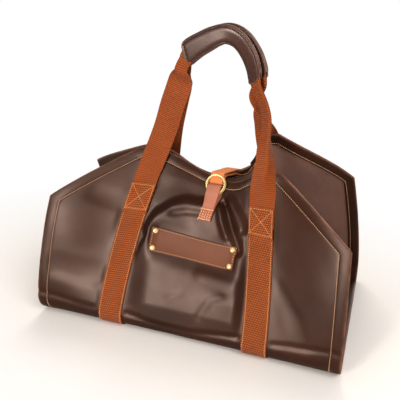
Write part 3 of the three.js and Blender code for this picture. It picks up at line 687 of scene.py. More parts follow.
def suede(name, dark, light):
    """The flesh side of the hide: matt, with a short nap."""
    made, tree, shader = new_material(name)
    place = flat_place(tree)
    tone = use_group(tree, MOTTLE, {"Place": place, "Large": 16.0, "Small": 130.0, "Sharpness": 0.2})
    colour = mixed(tree, tone["Cloud"], dark, light)
    colour = mixed(tree, maths(tree, "MULTIPLY", tone["Flecks"], 0.45), colour, light)
    link(tree, colour, shader, "Base Color")
    nap = noise(tree, place, 900.0, 3.0)
    link(tree, bumped(tree, nap["Fac"], 0.5, 0.0006), shader, "Normal")
    shader.inputs["Roughness"].default_value = 0.95
    shader.inputs["Specular IOR Level"].default_value = 0.2
    shader.inputs["Sheen Weight"].default_value = 0.25
    shader.inputs["Sheen Roughness"].default_value = 0.6
    return made


def woven(name, dark, light, rib, yarn, offset, depth, bump):
    """Woven webbing, with painted shade: dark between the yarns and lighter on them."""
    made, tree, shader = new_material(name)
    place = flat_place(tree)
    threads = use_group(
        tree,
        WEAVE,
        {"Place": place, "Rib pitch": rib, "Yarn pitch": yarn, "Offset": offset, "Yarn depth": depth},
    )
    tone = use_group(tree, MOTTLE, {"Place": place, "Large": 22.0, "Small": 240.0, "Sharpness": 0.25})
    # Painted shade: the colour follows the weave's height, dark in the low places between the yarns
    colour = mixed(tree, spread(tree, threads["Height"], 0.1, 0.95), dark, light)
    colour = mixed(tree, maths(tree, "MULTIPLY", tone["Cloud"], 0.3), colour, dark)
    link(tree, colour, shader, "Base Color")
    fuzz = maths(tree, "MULTIPLY", tone["Flecks"], 0.25)
    height = maths(tree, "ADD", threads["Height"], fuzz)
    link(tree, bumped(tree, height, bump, 0.0007), shader, "Normal")
    shader.inputs["Roughness"].default_value = 0.78
    shader.inputs["Specular IOR Level"].default_value = 0.2
    shader.inputs["Sheen Weight"].default_value = 0.04
    shader.inputs["Sheen Roughness"].default_value = 0.5
    return made


def yarn(name, dark, light):
    """Waxed thread, twisted, with painted shade: darker in the twist's grooves."""
    made, tree, shader = new_material(name)
    place = node(tree, "ShaderNodeTexCoord").outputs["Object"]
    twist = node(tree, "ShaderNodeTexWave", {"Vector": place, "Scale": 900.0, "Distortion": 2.0})
    # Painted shade: the colour follows the twist's height, darker in its grooves
    colour = mixed(tree, twist.outputs["Fac"], dark, light)
    link(tree, colour, shader, "Base Color")
    link(tree, bumped(tree, twist.outputs["Fac"], 0.4, 0.0002), shader, "Normal")
    shader.inputs["Roughness"].default_value = 0.6
    return made


def metal(name, tint, dull):
    """Polished metal with a little tarnish."""
    made, tree, shader = new_material(name)
    place = node(tree, "ShaderNodeTexCoord").outputs["Object"]
    tone = use_group(tree, MOTTLE, {"Place": place, "Large": 70.0, "Small": 420.0, "Sharpness": 0.2})
    colour = mixed(tree, maths(tree, "MULTIPLY", tone["Cloud"], 0.5), tint, dull)
    link(tree, colour, shader, "Base Color")
    link(tree, spread(tree, tone["Flecks"], 0.0, 1.0, 0.16, 0.3), shader, "Roughness")
    link(tree, bumped(tree, tone["Flecks"], 0.08, 0.0001), shader, "Normal")
    shader.inputs["Metallic"].default_value = 0.4
    return made


def colour(red, green, blue):
    """A material's colour from its parts on screen, from 0 to 255."""
    parts = []
    for part in (red, green, blue):
        share = part / 255
        parts.append(share / 12.92 if share <= 0.04045 else ((share + 0.055) / 1.055) ** 2.4)
    return (*parts, 1.0)


# Each hide's dark, light and rim colours (a painted highlight on the dark and grip hides, a darker edge on
# the tan ones), its roughness, its grain's cells and depth, and its polish
HIDE = leather("dark_hide", colour(29, 12, 6), colour(55, 27, 15), colour(132, 88, 66), 0.35, 620.0, 0.2)
GRIP_HIDE = leather(
    "grip_hide", colour(40, 23, 18), colour(76, 48, 38), colour(134, 100, 86), 0.34, 620.0, 0.12, 0.4
)
TAN = leather("tan_hide", colour(86, 46, 27), colour(108, 60, 38), colour(74, 38, 23), 0.5, 480.0, 0.35)
TAB_HIDE = leather(
    "tab_hide", colour(150, 88, 66), colour(178, 116, 92), colour(138, 70, 38), 0.5, 480.0, 0.4
)
STRAP_HIDE = leather(
    "tan_strap", colour(190, 104, 52), colour(218, 134, 78), colour(140, 76, 40), 0.65, 380.0, 0.5
)
FLESH = suede("flesh_side", colour(84, 48, 34), colour(112, 70, 53))

# Each webbing's colours (dark as painted shade between the yarns, light on them), its ribs' and yarns' pitch
# and their offset in metres, and its relief
RIBBED = woven("ribbed_webbing", colour(86, 37, 12), colour(150, 72, 29), 0.0030, 0.0034, 0.0, 0.12, 0.7)
TWILL = woven("twill_webbing", colour(78, 32, 9), colour(170, 86, 37), 0.0034, 0.0036, 0.0012, 0.6, 1.0)

THREAD = yarn("tan_thread", colour(188, 138, 96), colour(222, 178, 132))
STRAP_THREAD = yarn("strap_thread", colour(206, 136, 80), colour(236, 174, 116))
TAB_THREAD = yarn("tab_thread", colour(214, 146, 104), colour(236, 182, 142))
DARK_THREAD = yarn("brown_thread", colour(58, 36, 28), colour(86, 58, 48))
BRASS = metal("brass", colour(248, 222, 156), colour(216, 178, 104))


# The leather sheet with its turned-in hem
HEM_STEPS = np.array([0, 0.3, 0.8, 1.5, 2.2, 5, 9, 13, 15.4, STITCH_IN, 18.2, 19.7, 20.3, 23])
HEM_GROOVE = 0.45
HEM_PUFF = 0.35
# How far inside the sheet's border its painted highlight reaches
HEM_RIM_REACH = 3.2
PANEL_ROWS = 226
PANEL_COLUMNS = 132


def side_edge(inside, a):
    """Half the sheet's width at a, that far inside its border."""
    straight = SHEET_WIDTH / 2 - inside
    slanted = SHEET_WIDTH / 2 - (np.abs(a) - CORNER_START) * CORNER_SLOPE - inside * CORNER_SLANT
    return np.minimum(straight, slanted)


def rounded(inside, radius):
    """How far a rounded edge lies behind its face."""
    share = 1 - np.clip(inside / radius, 0, 1)
    return radius * (1 - np.sqrt(1 - share * share))


def make_panel():
    """The sheet: grain side, turned-in hem and flesh side, with closer points along its border."""
    reach = HALF_LENGTH - HEM_STEPS[-1] - 3
    inner_rows = np.linspace(-reach, reach, PANEL_ROWS)
    rows = np.concatenate([HEM_STEPS - HALF_LENGTH, inner_rows, HALF_LENGTH - HEM_STEPS[::-1]])
    row_inside = HALF_LENGTH - np.abs(rows)
    share = np.linspace(0, 1, PANEL_COLUMNS)[1:-1]
    limit = side_edge(HEM_STEPS[-1], rows)[:, None]
    right = side_edge(HEM_STEPS[None, :], rows[:, None])
    u = np.concatenate([-right, limit * (2 * share[None, :] - 1), right[:, ::-1]], axis=1)
    column_inside = np.concatenate([HEM_STEPS, np.full(len(share), SHEET_WIDTH / 2), HEM_STEPS[::-1]])
    inside = np.minimum(column_inside[None, :], row_inside[:, None])
    a = np.broadcast_to(rows[:, None], u.shape)
    groove = HEM_GROOVE * hill(inside, STITCH_IN, 2.2)
    face, normal = face_point(u, a), face_normal(face_point, u, a)
    puff = HEM_PUFF * hill(inside, 9, 8)
    layers = 1 + (1 - smooth(inside, HEM - 0.3, HEM + 0.3))
    outer = face + normal * (puff - rounded(inside, LEATHER) - groove)[..., None]
    inner = face + normal * (rounded(inside, LEATHER) + groove - LEATHER * layers)[..., None]
    mean = (inside[:-1, :-1] + inside[1:, 1:]) / 2
    # Painted highlight: the hide is lighter along the sheet's folded border
    rim = 1 - smooth(inside, 0, HEM_RIM_REACH)
    uv = np.stack([u, a], -1)
    panel = two_faces(
        "leather_sheet", outer, inner, uv, {"rim": (rim, rim)}, [HIDE, FLESH], (mean > HEM).astype(int)
    )
    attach(panel, "bag")
    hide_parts("main_panel")


# Webbing
STRAP_REACH = 34


def across_strap(hand, a, places):
    """The places u on the sheet that lie at true distances from a strap's middle line, per row a."""
    a = np.asarray(a, float)
    near = np.linspace(-STRAP_REACH, STRAP_REACH, 2 * STRAP_REACH + 1)
    line = plain_point(hand * STRAP_AT + near[None, :], a[:, None])
    steps = np.linalg.norm(np.diff(line, axis=1), axis=-1)
    long = np.concatenate([np.zeros((len(a), 1)), np.cumsum(steps, axis=1)], axis=1)
    long -= long[:, STRAP_REACH : STRAP_REACH + 1]
    rows = np.broadcast_to(places, (len(a), np.shape(places)[-1]))
    return hand * STRAP_AT + np.stack([np.interp(row, where, near) for row, where in zip(rows, long)])


def make_belly_strap(name, hand):
    places = with_edges(np.linspace(-STRAP / 2, STRAP / 2, 17), STRAP_THICK)
    rows = with_edges(np.linspace(-BOX_TOP, BOX_TOP, 250), STRAP_THICK)
    u = across_strap(hand, rows, places)
    a = np.broadcast_to(rows[:, None], u.shape)
    lift = CLEAR + (STRAP_THICK + CLEAR) * smooth(np.abs(a), BOX_BOTTOM - RAMP_BELOW, BOX_BOTTOM - RAMP_STOP)
    middle = on_sheet(u, a, lift + STRAP_THICK / 2)
    uv = np.stack([np.broadcast_to(places, u.shape), a], -1)
    strap = slab(name, middle, STRAP_THICK, uv, [TWILL])
    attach(strap, "bag")
    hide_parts(name)


# The grips' middle line (x, z), and half their width from their left end to the right one
GRIP_LINE = (
    (-39, 420), (-24, 432), (-9, 441), (8, 450), (27, 455), (45, 449), (61, 431), (71, 409), (75, 386),
)
GRIP_HALF = (17.5, 17.5, 16.4, 15, 14, 13.6, 13.8, 14.8, 14.8, 13.6)
GRIP_DEPTH = 4.9
GRIP_APART = 2.6
GRIP_CORNER = 6.0
GRIP_SLANT = 0.45
GRIP_POINT = 11.0
GRIP_WALL = 1.4
GRIP_TWIST = 35.0
GRIP_STITCH_IN = 3.6

# The legs of the handles, by wall and by hand: the way from the box to the grip, the twist in degrees,
# and how far from the grip the webbing stays folded and where it lies flat
LEG_WAYS = {
    FRONT: {
        -1: ((-71, -12, 303), (-58, -10, 345), (-45.5, -7, 381)),
        1: ((97, -27, 286), (96, -15, 325), (87, -10, 357)),
    },
    BACK: {
        -1: ((-70, 13, 303), (-60, 11, 345), (-50, 8, 383)),
        1: ((80, 29, 312), (70, 17, 343), (65, 11, 366)),
    },
}
LEG_TWIST = {FRONT: {-1: 0.0, 1: 18.0}, BACK: {-1: 0.0, 1: -30.0}}
FOLDED_TO = {FRONT: {-1: 4.0, 1: 48.0}, BACK: {-1: 4.0, 1: 4.0}}
FLAT_FROM = {FRONT: {-1: 30.0, 1: 178.0}, BACK: {-1: 60.0, 1: 60.0}}
UNFOLD_POWER = 0.9
EXIT_SHIFT = {FRONT: {-1: 5.5, 1: 0.0}, BACK: {-1: 0.0, 1: 0.0}}
FOLDED_WIDTH = 19.0


def grip_frames(side, steps):
    """The middle line of a grip, and its ways along, across and outwards."""
    line = catmull([(x, 0.0, z) for x, z in GRIP_LINE], steps + 1)
    tangents = unit(np.gradient(line, axis=0))
    twist = np.radians(GRIP_TWIST) * np.linspace(0, 1, steps + 1)
    normals = side * np.stack([np.sin(twist), np.cos(twist), np.zeros_like(twist)], -1)
    across = unit(np.cross(tangents, normals))
    outs = unit(np.cross(across, tangents))
    points = line + outs * (GRIP_DEPTH + GRIP_APART / 2) + CENTRE_SHIFT
    return points, tangents, across, outs


def leg(side, hand, grip_point, grip_tangent, grip_out):
    """Middle line, outward direction, fold and held way across of a leg, from its box to the grip."""
    u = hand * STRAP_AT
    sewn = side * np.arange(CORNER_START + 1, BOX_TOP + 10, 4.0)
    low_offset = np.full(len(sewn), CLEAR + STRAP_THICK / 2)
    low = on_sheet(np.full(len(sewn), u), sewn, low_offset)
    low_out = face_normal(face_point, np.full(len(sewn), u), sewn)
    way = [np.array(p, float) + CENTRE_SHIFT for p in LEG_WAYS[side][hand]]
    before = low[-1] - unit(low[-1] - low[-2]) * 8
    past = grip_point + grip_tangent * FOLDED_WIDTH
    free = catmull([before, low[-1], *way, grip_point, past], 90)
    first = int(np.argmin(np.linalg.norm(free - low[-1], axis=1)))
    last = int(np.argmin(np.linalg.norm(free - grip_point, axis=1)))
    free = free[first + 1 : last]
    share = np.linspace(0, 1, len(free))
    outs = mix(low_out[-1][None, :], grip_out[None, :], smooth(share, 0.2, 1)[:, None])
    swing = side * np.radians(LEG_TWIST[side][hand]) * np.sin(math.pi * share) * smooth(share, 0, 0.6)
    tangents = unit(np.gradient(free, axis=0))
    outs = unit(outs)
    outs = outs * np.cos(swing)[:, None] + np.cross(tangents, outs) * np.sin(swing)[:, None]
    gap = np.linalg.norm(free - grip_point, axis=1)
    flat_from = min(FLAT_FROM[side][hand], gap[0])
    closed = np.clip((flat_from - gap) / (flat_from - FOLDED_TO[side][hand]), 0, 1)
    folding = math.pi * closed**UNFOLD_POWER
    beside = np.full(len(sewn), 5.0)
    held = unit(on_sheet(u + beside, sewn, low_offset) - on_sheet(u - beside, sewn, low_offset))
    let_go = 1 - smooth(np.arange(len(free)), 0, 9)
    held = np.concatenate([held, held[-1] * let_go[:, None]])
    folding = np.concatenate([np.zeros(len(low)), folding])
    return np.concatenate([low, free]), np.concatenate([low_out, outs]), folding, held


HINGES = {joint["name"]: joint for joint in frame["joints"]}


def make_handle(side, word):
    points, tangents, across, outs = grip_frames(side, 44)
    share = np.linspace(0, 1, len(points))[:, None]
    for hand, near in ((-1, 1 - smooth(share, 0, 0.25)), (1, smooth(share, 0.75, 1))):
        points = points - side * across * EXIT_SHIFT[side][hand] * near
    left = leg(side, -1, points[0], tangents[0], outs[0])
    right = leg(side, 1, points[-1], -tangents[-1], outs[-1])
    line = np.concatenate([left[0], points, right[0][::-1]])
    facing = np.concatenate([left[1], outs, right[1][::-1]])
    folding = np.concatenate([left[2], np.full(len(points), math.pi), right[2][::-1]])
    held = np.concatenate([left[3], np.zeros(points.shape), right[3][::-1]])
    strap = ribbon(
        f"{word}_handle_strap", eased_row(line), unit(eased_row(facing, 12)), RIBBED,
        eased_row(folding, 10), side, held,
    )
    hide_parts(f"handle_webbing_{word}", f"handle_end_{word}_left", f"handle_end_{word}_right")
    hinge = HINGES[f"{word}_handle_fold"]
    pivot, axis = Vector(hinge["pos_m"]), Vector(hinge["axis"]).normalized()
    wall = face_point(np.zeros(2), side * np.array([BOX_TOP, BOX_TOP + 10]))
    way = Vector(unit(wall[1] - wall[0]).tolist())
    way = (way - axis * way.dot(axis)).normalized()
    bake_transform(strap)
    make_grip(side, word)


def make_grip(side, word):
    """A leather wrap round the folded webbing: a flat face with a sewn border on its outer side."""
    steps = 96
    points, tangents, across, outs = grip_frames(side, steps)
    share = np.linspace(0, 1, steps + 1)
    half_width = np.interp(share, np.linspace(0, 1, len(GRIP_HALF)), eased_row(GRIP_HALF, 1))
    total = np.linalg.norm(np.diff(points, axis=0), axis=1).sum()
    end = np.minimum(share, 1 - share) * total
    angles = np.linspace(0, 2 * math.pi, 105)[:-1]
    cosine, sine = np.cos(angles), np.sin(angles)
    flat_x = np.sign(cosine) * np.abs(cosine) ** 0.55
    flat_y = np.sign(sine) * np.abs(sine) ** 0.62
    outer = []
    inner = []
    depth = GRIP_DEPTH - 0.6
    for i in range(steps + 1):
        w, t = half_width[i] * flat_x, depth * flat_y
        inset = half_width[i] - np.abs(w)
        face = (sine > 0.1).astype(float)
        groove = np.maximum(hill(inset, GRIP_STITCH_IN, 1.5), hill(end[i], 4.2, 1.5)) * face
        plump = smooth(np.minimum(inset, end[i]), 4, 9) * face
        seam = hill(w, 0.15 * half_width[i], 1.0) * face
        t = t - 0.75 * groove + 0.5 * plump - 0.3 * seam
        corner = np.clip(GRIP_CORNER - inset, 0, GRIP_CORNER)
        near_end = 1 - smooth(end[i], 0, 2.2 * GRIP_CORNER)
        drawn_in = (GRIP_CORNER - np.sqrt(GRIP_CORNER**2 - corner**2)) * near_end
        inwards = drawn_in * (1 if share[i] < 0.5 else -1)
        inwards = inwards + side * w * GRIP_SLANT * (1 - smooth(share[i] * total, 0, 32))
        upper = (1 + side * w / half_width[i]) / 2
        inwards = inwards - GRIP_POINT * upper**2 * (1 - smooth((1 - share[i]) * total, 0, 44))
        place = points[i] + w[:, None] * across[i] + inwards[:, None] * tangents[i]
        outer.append(place + t[:, None] * outs[i])
        core_w = w * (1 - GRIP_WALL / half_width[i])
        core = points[i] + core_w[:, None] * across[i] + inwards[:, None] * tangents[i]
        inner.append(core + (depth * flat_y * (1 - GRIP_WALL / depth))[:, None] * outs[i])
    rings = np.stack([*outer, *inner[::-1]])
    faces = torus_faces(*rings.shape[:2])
    long = np.concatenate([share, share[::-1]]) * total
    around_way = angles / math.pi * 30
    uv = np.stack(np.broadcast_arrays(around_way[None, :], long[:, None]), -1)
    border = np.abs(flat_x)[None, :] * np.ones((len(rings), 1))
    both_ends = np.concatenate([end, end[::-1]])[:, None]
    # Painted highlight: the grip's hide is lighter at its ends and along the two long edges of its section
    rim = np.maximum(1 - smooth(both_ends, 0, RIM_REACH), smooth(border, 0.93, 1.0))
    grip = new_object(
        f"{word}_grip", rings.reshape(-1, 3), faces, uv.reshape(-1, 2), {"rim": rim}, [GRIP_HIDE]
    )
    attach(grip, f"{word}_handle")
    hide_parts(f"grip_{word}")
    rows = []
    keep = (share > 0.06) & (share < 0.94)
    for way in (1, -1):
        w = way * (half_width - GRIP_STITCH_IN)
        line = points + w[:, None] * across + (depth - 0.45) * outs
        rows.append((line[keep], outs[keep], False))
    sew(f"{word}_grip", rows, DARK_THREAD, f"{word}_handle", length=2.4, width=0.8)


# The name patch, bare
PATCH_CORNER = 4.0


def make_patch():
    half_tall = PATCH_TALL / 2
    rows = with_edges(np.linspace(-half_tall, half_tall, 31), PATCH_THICK)
    near = np.clip(np.abs(rows) - (half_tall - PATCH_CORNER), 0, PATCH_CORNER)
    half = PATCH_HALF - PATCH_CORNER + np.sqrt(np.clip(PATCH_CORNER**2 - near**2, 0, None))
    places = with_edges(np.linspace(-PATCH_HALF, PATCH_HALF, 73), PATCH_THICK) / PATCH_HALF
    u = half[:, None] * places[None, :]
    a = -(PATCH_MIDDLE + np.broadcast_to(rows[:, None], u.shape))
    middle = on_sheet(u, a, np.full(u.shape, CLEAR + PATCH_THICK / 2))
    patch = slab("name_patch_bare", middle, PATCH_THICK, np.stack([u, a], -1), [TAN])
    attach(patch, "bag")
    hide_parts("name_patch")


# The closure: rings, the tab that carries them and the strap threaded through them
RING_WIRE = 3.0
RING_RADIUS = 26.0 / 2 + RING_WIRE / 2
RING_APART = 0.8
RING_TILT = 1.2
CLOSURE_WIDE = 22.0
CLOSURE_THICK = 2.0
CLOSURE_AT = 22.0
CLOSURE_BELOW = 15.0
CLOSURE_OFF = 7.8
CLOSURE_DRIFT = 0.25
CLOSURE_STRAIGHT = 7.0
NIP = 0.4
SLACK = 1.6
TAB_TURN_AT = -6.0
STRAP_TURN_AT = 4.3
TAB_SEWN = (33, 44, 54)
TAB_LEAN = 0.09
STRAP_SEWN = (-26, -16, -7)
STRIP_STEPS = 150
RING_STEPS = 72
WIRE_STEPS = 18
STRAP_OVER = ((19, 10), (30, 7), (44, 4), (57, -2))
TONGUE_OVER = ((8.4, 15.6), (19, 14.6), (31, 12.4), (44, 10.4), (57, 6.5), (65, 0))

ring_a = CLOSURE_BELOW - HALF_LENGTH
RING_NORMAL = face_normal(plain_point, CLOSURE_AT, ring_a)
RING_MIDDLE = plain_point(CLOSURE_AT, ring_a) + RING_NORMAL * CLOSURE_OFF + CENTRE_SHIFT
OFF_WALL = unit(np.array([0.0, RING_NORMAL[1], RING_NORMAL[2]]))
ALONG_WALL = np.array([0.0, OFF_WALL[2], -OFF_WALL[1]])
LOWER_RING = -RING_WIRE / 2 - RING_APART / 4
UPPER_RING = -LOWER_RING + RING_APART / 2 + RING_TILT
BEHIND = LOWER_RING - RING_WIRE / 2 - NIP - CLOSURE_THICK / 2


def closure_point(v, n):
    return RING_MIDDLE + ALONG_WALL * v + OFF_WALL * n


def closure_x(y):
    away = y - RING_MIDDLE[1]
    return RING_MIDDLE[0] + CLOSURE_DRIFT * (away - np.clip(away, -CLOSURE_STRAIGHT, CLOSURE_STRAIGHT))


def on_wall(side, w, height, offset):
    """Points of a wall at a height, at places w across the closure's line, that far off its face."""
    u = np.full(len(w), RING_MIDDLE[0] - CENTRE_SHIFT[0]) + w
    s = np.full(len(w), HALF_LENGTH - 30.0)
    for _ in range(16):
        point = plain_point(u, side * s) + CENTRE_SHIFT
        s = s + (height - point[:, 2]) * 0.9
        u = u + (closure_x(point[:, 1]) + w - point[:, 0]) * 0.9
    rise = folds(u, side * s)
    off_face = face_normal(plain_point, u, side * s) * (offset + rise.mean())
    return plain_point(u, side * s) + CENTRE_SHIFT + off_face


def arc_points(v, n, radius, start, stop):
    turns = np.linspace(start, stop, 9)
    return [closure_point(v + radius * math.cos(t), n + radius * math.sin(t)) for t in turns]


def closure_strip(name, stations, node_name):
    """A strap whose line is made at each place across it, so that its sewn part lies on the wall."""
    places = with_edges(np.linspace(-CLOSURE_WIDE / 2, CLOSURE_WIDE / 2, 11), CLOSURE_THICK)
    lines = []
    for kind, first, second in stations:
        if kind == "free":
            x = closure_x(first) + places
            lines.append(np.stack([x, np.full(len(x), first), np.full(len(x), second)], -1))
        else:
            aside = places + (TAB_LEAN * first if kind == "front" else 0)
            side = FRONT if kind == "front" else BACK
            lines.append(on_wall(side, aside, RING_MIDDLE[2] + first, second))
    middle = np.stack([catmull(column, STRIP_STEPS) for column in np.stack(lines, 1)], 1)
    long = np.arange(STRIP_STEPS) * np.linalg.norm(middle[1, 5] - middle[0, 5])
    uv = np.stack(np.broadcast_arrays(places[None, :], long[:, None]), -1)
    tab = node_name == "ring_tab"
    # The tab's sewn part takes the tab hide's darker, more orange rim colour as well
    rim_colouring = 1 - smooth(middle[..., 2] - RING_MIDDLE[2], -TAB_SEWN[0] - 3, -TAB_SEWN[0] + 1) if tab else 0.0
    strip = slab(name, middle, CLOSURE_THICK, uv, [TAB_HIDE if tab else STRAP_HIDE], rim_colouring)
    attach(strip, "bag")
    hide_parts(node_name)
    return middle


def free(points):
    return [("free", float(p[1]), float(p[2])) for p in points]


def make_closure():
    front = UPPER_RING - RING_TILT + RING_WIRE / 2 + SLACK + CLOSURE_THICK / 2
    past = -RING_RADIUS - RING_WIRE / 2 - NIP
    turn = arc_points(TAB_TURN_AT, (front + BEHIND) / 2, (front - BEHIND) / 2, math.pi / 2, -math.pi / 2)
    under = CLEAR + CLOSURE_THICK / 2
    over = under + CLOSURE_THICK + CLEAR
    up = [("front", -h, over) for h in reversed(TAB_SEWN)]
    down = [("front", -h, under) for h in TAB_SEWN]
    tab = [*up, *free([closure_point(past, front), *turn, closure_point(past, BEHIND)]), *down]
    sew_tab(closure_strip("ring_tab_loop", tab, "ring_tab"))
    between = 2 * LOWER_RING - BEHIND
    turn = arc_points(STRAP_TURN_AT, LOWER_RING, LOWER_RING - BEHIND, -math.pi / 2, -3 * math.pi / 2)
    sewn = [("back", h, 1.6) for h in STRAP_SEWN]
    over = [RING_MIDDLE + np.array([0, back, rise]) for back, rise in reversed(STRAP_OVER)]
    loose = [RING_MIDDLE + np.array([0, back, rise]) for back, rise in TONGUE_OVER]
    line = [*over, closure_point(RING_RADIUS, BEHIND), *turn, closure_point(RING_RADIUS, between), *loose]
    sew_strap_end(closure_strip("closure_strap_threaded", [*sewn, *free(line)], "closure_strap"))
    make_ring("ring_lower_round", LOWER_RING, 0.0, "ring_lower", "bag")
    tilt = math.asin(RING_TILT / RING_RADIUS)
    make_ring("ring_upper_round", UPPER_RING, tilt, "ring_upper", "upper_ring")


def sew_tab(middle):
    """Close rows of stitches where the tab is sewn to the wall."""
    sewn = int(np.argmax(middle[:, 5, 2] > RING_MIDDLE[2] - TAB_SEWN[0] - 1))
    columns = middle.shape[1]
    normal = grid_normal(middle)
    face = middle + normal * (CLOSURE_THICK / 2)
    rows = [
        (face[2 + column % 3 : sewn, column], normal[2 + column % 3 : sewn, column], False)
        for column in range(5, columns - 5, 2)
    ]
    for row in (2, sewn):
        rows.append((face[row, 4 : columns - 4], normal[row, 4 : columns - 4], False))
    sew("tab", rows, TAB_THREAD, "bag", pitch=3.6, length=2.7, width=2.0, slant=0.6)


def sew_strap_end(middle):
    """A stitched box on the strap's end that lies on the back wall."""
    low, high = 4, int(np.argmax(middle[:, 5, 2] > RING_MIDDLE[2] + STRAP_SEWN[1] + 2))
    left, right = 3, middle.shape[1] - 4
    up, across = slice(low, high + 1), slice(left, right + 1)
    outward = -grid_normal(middle)
    face = middle + outward * (CLOSURE_THICK / 2)
    sides = ((up, left), (up, right), (low, across), (high, across))
    rows = [(face[side], outward[side], False) for side in sides]
    sew("strap_end", rows, STRAP_THREAD, "bag", pitch=3.0, length=2.1, width=0.9)


def make_ring(name, off, tilt, node_name, body):
    middle = closure_point(0, off)
    right = unit(np.cross(ALONG_WALL, OFF_WALL))
    up = ALONG_WALL * math.cos(tilt) + OFF_WALL * math.sin(tilt)
    facing = np.cross(right, up)
    points = []
    for t in np.linspace(0, 2 * math.pi, RING_STEPS + 1)[:-1]:
        ray = right * math.cos(t) + up * math.sin(t)
        for p in np.linspace(0, 2 * math.pi, WIRE_STEPS + 1)[:-1]:
            out = RING_RADIUS + RING_WIRE / 2 * math.cos(p)
            points.append(middle + ray * out + facing * RING_WIRE / 2 * math.sin(p))
    ring = new_object(name, points, torus_faces(RING_STEPS, WIRE_STEPS), materials=[BRASS])
    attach(ring, body)
    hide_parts(node_name)


# Repeated pieces, made by Geometry Nodes; how far stitches lie from an edge, and how deep the thread
# is pulled into the face
STRAP_STITCH_IN = 2.4
PATCH_STITCH_IN = 2.6
THREAD_SUNK = 0.1
HEM_THREAD_SUNK = 0.05

# A rivet's rim, its shank and the burr behind it
RIVET_RIM = 0.35
RIVET_BEVEL = 0.3
RIVET_AROUND = 32
SHANK = 1.5
PEENED_SHARE = 0.8
PEENED_RISE = 1.5
PEENED_EDGE_RISE = 1.4
BURR = 3.0
BURR_RISE = 1.1


def finish_tree(tree, instances, material):
    real = node(tree, "GeometryNodeRealizeInstances", {"Geometry": instances})
    shade = node(tree, "GeometryNodeSetShadeSmooth", {"Geometry": real.outputs[0]})
    painted = node(tree, "GeometryNodeSetMaterial", {"Geometry": shade.outputs[0], "Material": material})
    tree.interface.new_socket("Geometry", in_out="OUTPUT", socket_type="NodeSocketGeometry")
    last = tree.nodes.new("NodeGroupOutput")
    tree.links.new(painted.outputs[0], last.inputs[0])


def faces_out(tree):
    """The outward direction that each place carries."""
    named = node(tree, "GeometryNodeInputNamedAttribute", {"Name": "out"}, data_type="FLOAT_VECTOR")
    return named.outputs["Attribute"]


def turned_to(tree, tangent, slant):
    """Rotation of a stitch: along its row, standing on the face, and slanted."""
    along = node(tree, "FunctionNodeAlignRotationToVector", {"Vector": tangent}, axis="X")
    stood = node(
        tree, "FunctionNodeAlignRotationToVector", {"Rotation": along.outputs[0], "Vector": faces_out(tree)},
        axis="Z", pivot_axis="X",
    )
    slanted = node(tree, "ShaderNodeCombineXYZ", {"Z": slant})
    turn = node(tree, "FunctionNodeEulerToRotation", {0: slanted.outputs[0]})
    return node(
        tree, "FunctionNodeRotateRotation", {"Rotation": stood.outputs[0], "Rotate By": turn.outputs[0]},
        rotation_space="LOCAL",
    ).outputs[0]


def stitch_tree():
    sizes = [(key, FLOAT, None) for key in ("Pitch", "Length", "Width", "Slant")]
    inputs = [("Geometry", GEOMETRY, None), *sizes, ("Thread", "NodeSocketMaterial", None)]
    tree, given = group("Row of stitches", inputs, [], "GeometryNodeTree")
    curve = node(tree, "GeometryNodeMeshToCurve", {0: given["Geometry"]})
    spaced = {0: curve.outputs[0], "Length": given["Pitch"]}
    rows = node(tree, "GeometryNodeCurveToPoints", spaced, mode="LENGTH").outputs
    bead = node(tree, "GeometryNodeMeshUVSphere", {"Segments": 7, "Rings": 5, "Radius": 0.5})
    long, wide = given["Length"], given["Width"]
    size = node(tree, "ShaderNodeCombineXYZ", {"X": long, "Y": wide, "Z": wide})
    stitch = node(tree, "GeometryNodeTransform", {"Geometry": bead.outputs[0], "Scale": size.outputs[0]})
    placed = node(
        tree,
        "GeometryNodeInstanceOnPoints",
        {
            "Points": rows[0],
            "Instance": stitch.outputs[0],
            "Rotation": turned_to(tree, rows["Tangent"], given["Slant"]),
        },
    )
    finish_tree(tree, placed.outputs[0], given["Thread"])
    return tree


def input_of(tree, key):
    return next(i.identifier for i in tree.interface.items_tree if i.name == key and i.in_out == "INPUT")


def made_by(tree, name, points, outs, edges, inputs):
    """A plain object that a tree makes on places with outward directions; the places themselves go."""
    mesh = bpy.data.meshes.new(f"{name}_places")
    mesh.from_pydata((np.asarray(points) * METRES).tolist(), edges, [])
    layer = mesh.attributes.new("out", "FLOAT_VECTOR", "POINT")
    layer.data.foreach_set("vector", np.asarray(outs, np.float32).ravel())
    source = bpy.data.objects.new(f"{name}_places", mesh)
    bpy.context.scene.collection.objects.link(source)
    modifier = source.modifiers.new(tree.name, "NODES")
    modifier.node_group = tree
    for key, value in inputs.items():
        modifier[input_of(tree, key)] = value
    bpy.context.view_layer.update()
    evaluated = source.evaluated_get(bpy.context.evaluated_depsgraph_get())
    made = bpy.data.meshes.new_from_object(evaluated)
    made.name = name
    obj = bpy.data.objects.new(name, made)
    bpy.context.scene.collection.objects.link(obj)
    bpy.data.objects.remove(source)
    return obj


STITCHES = stitch_tree()


def sew(name, rows, thread, body, pitch=3.4, length=2.6, width=1.05, slant=0.12):
    """Stitches along rows; a row is its points, its outward directions and whether it is closed."""
    points, outs, edges = [], [], []
    for line, facing, closed in rows:
        first = len(points)
        points.extend(line)
        outs.extend(facing)
        edges.extend((first + i, first + i + 1) for i in range(len(line) - 1))
        if closed:
            edges.append((len(points) - 1, first))
    sizes = {"Pitch": pitch * METRES, "Length": length * METRES, "Width": width * METRES, "Slant": slant}
    sewn = made_by(STITCHES, f"{name}_stitches", points, outs, edges, {**sizes, "Thread": thread})
    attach(sewn, body)


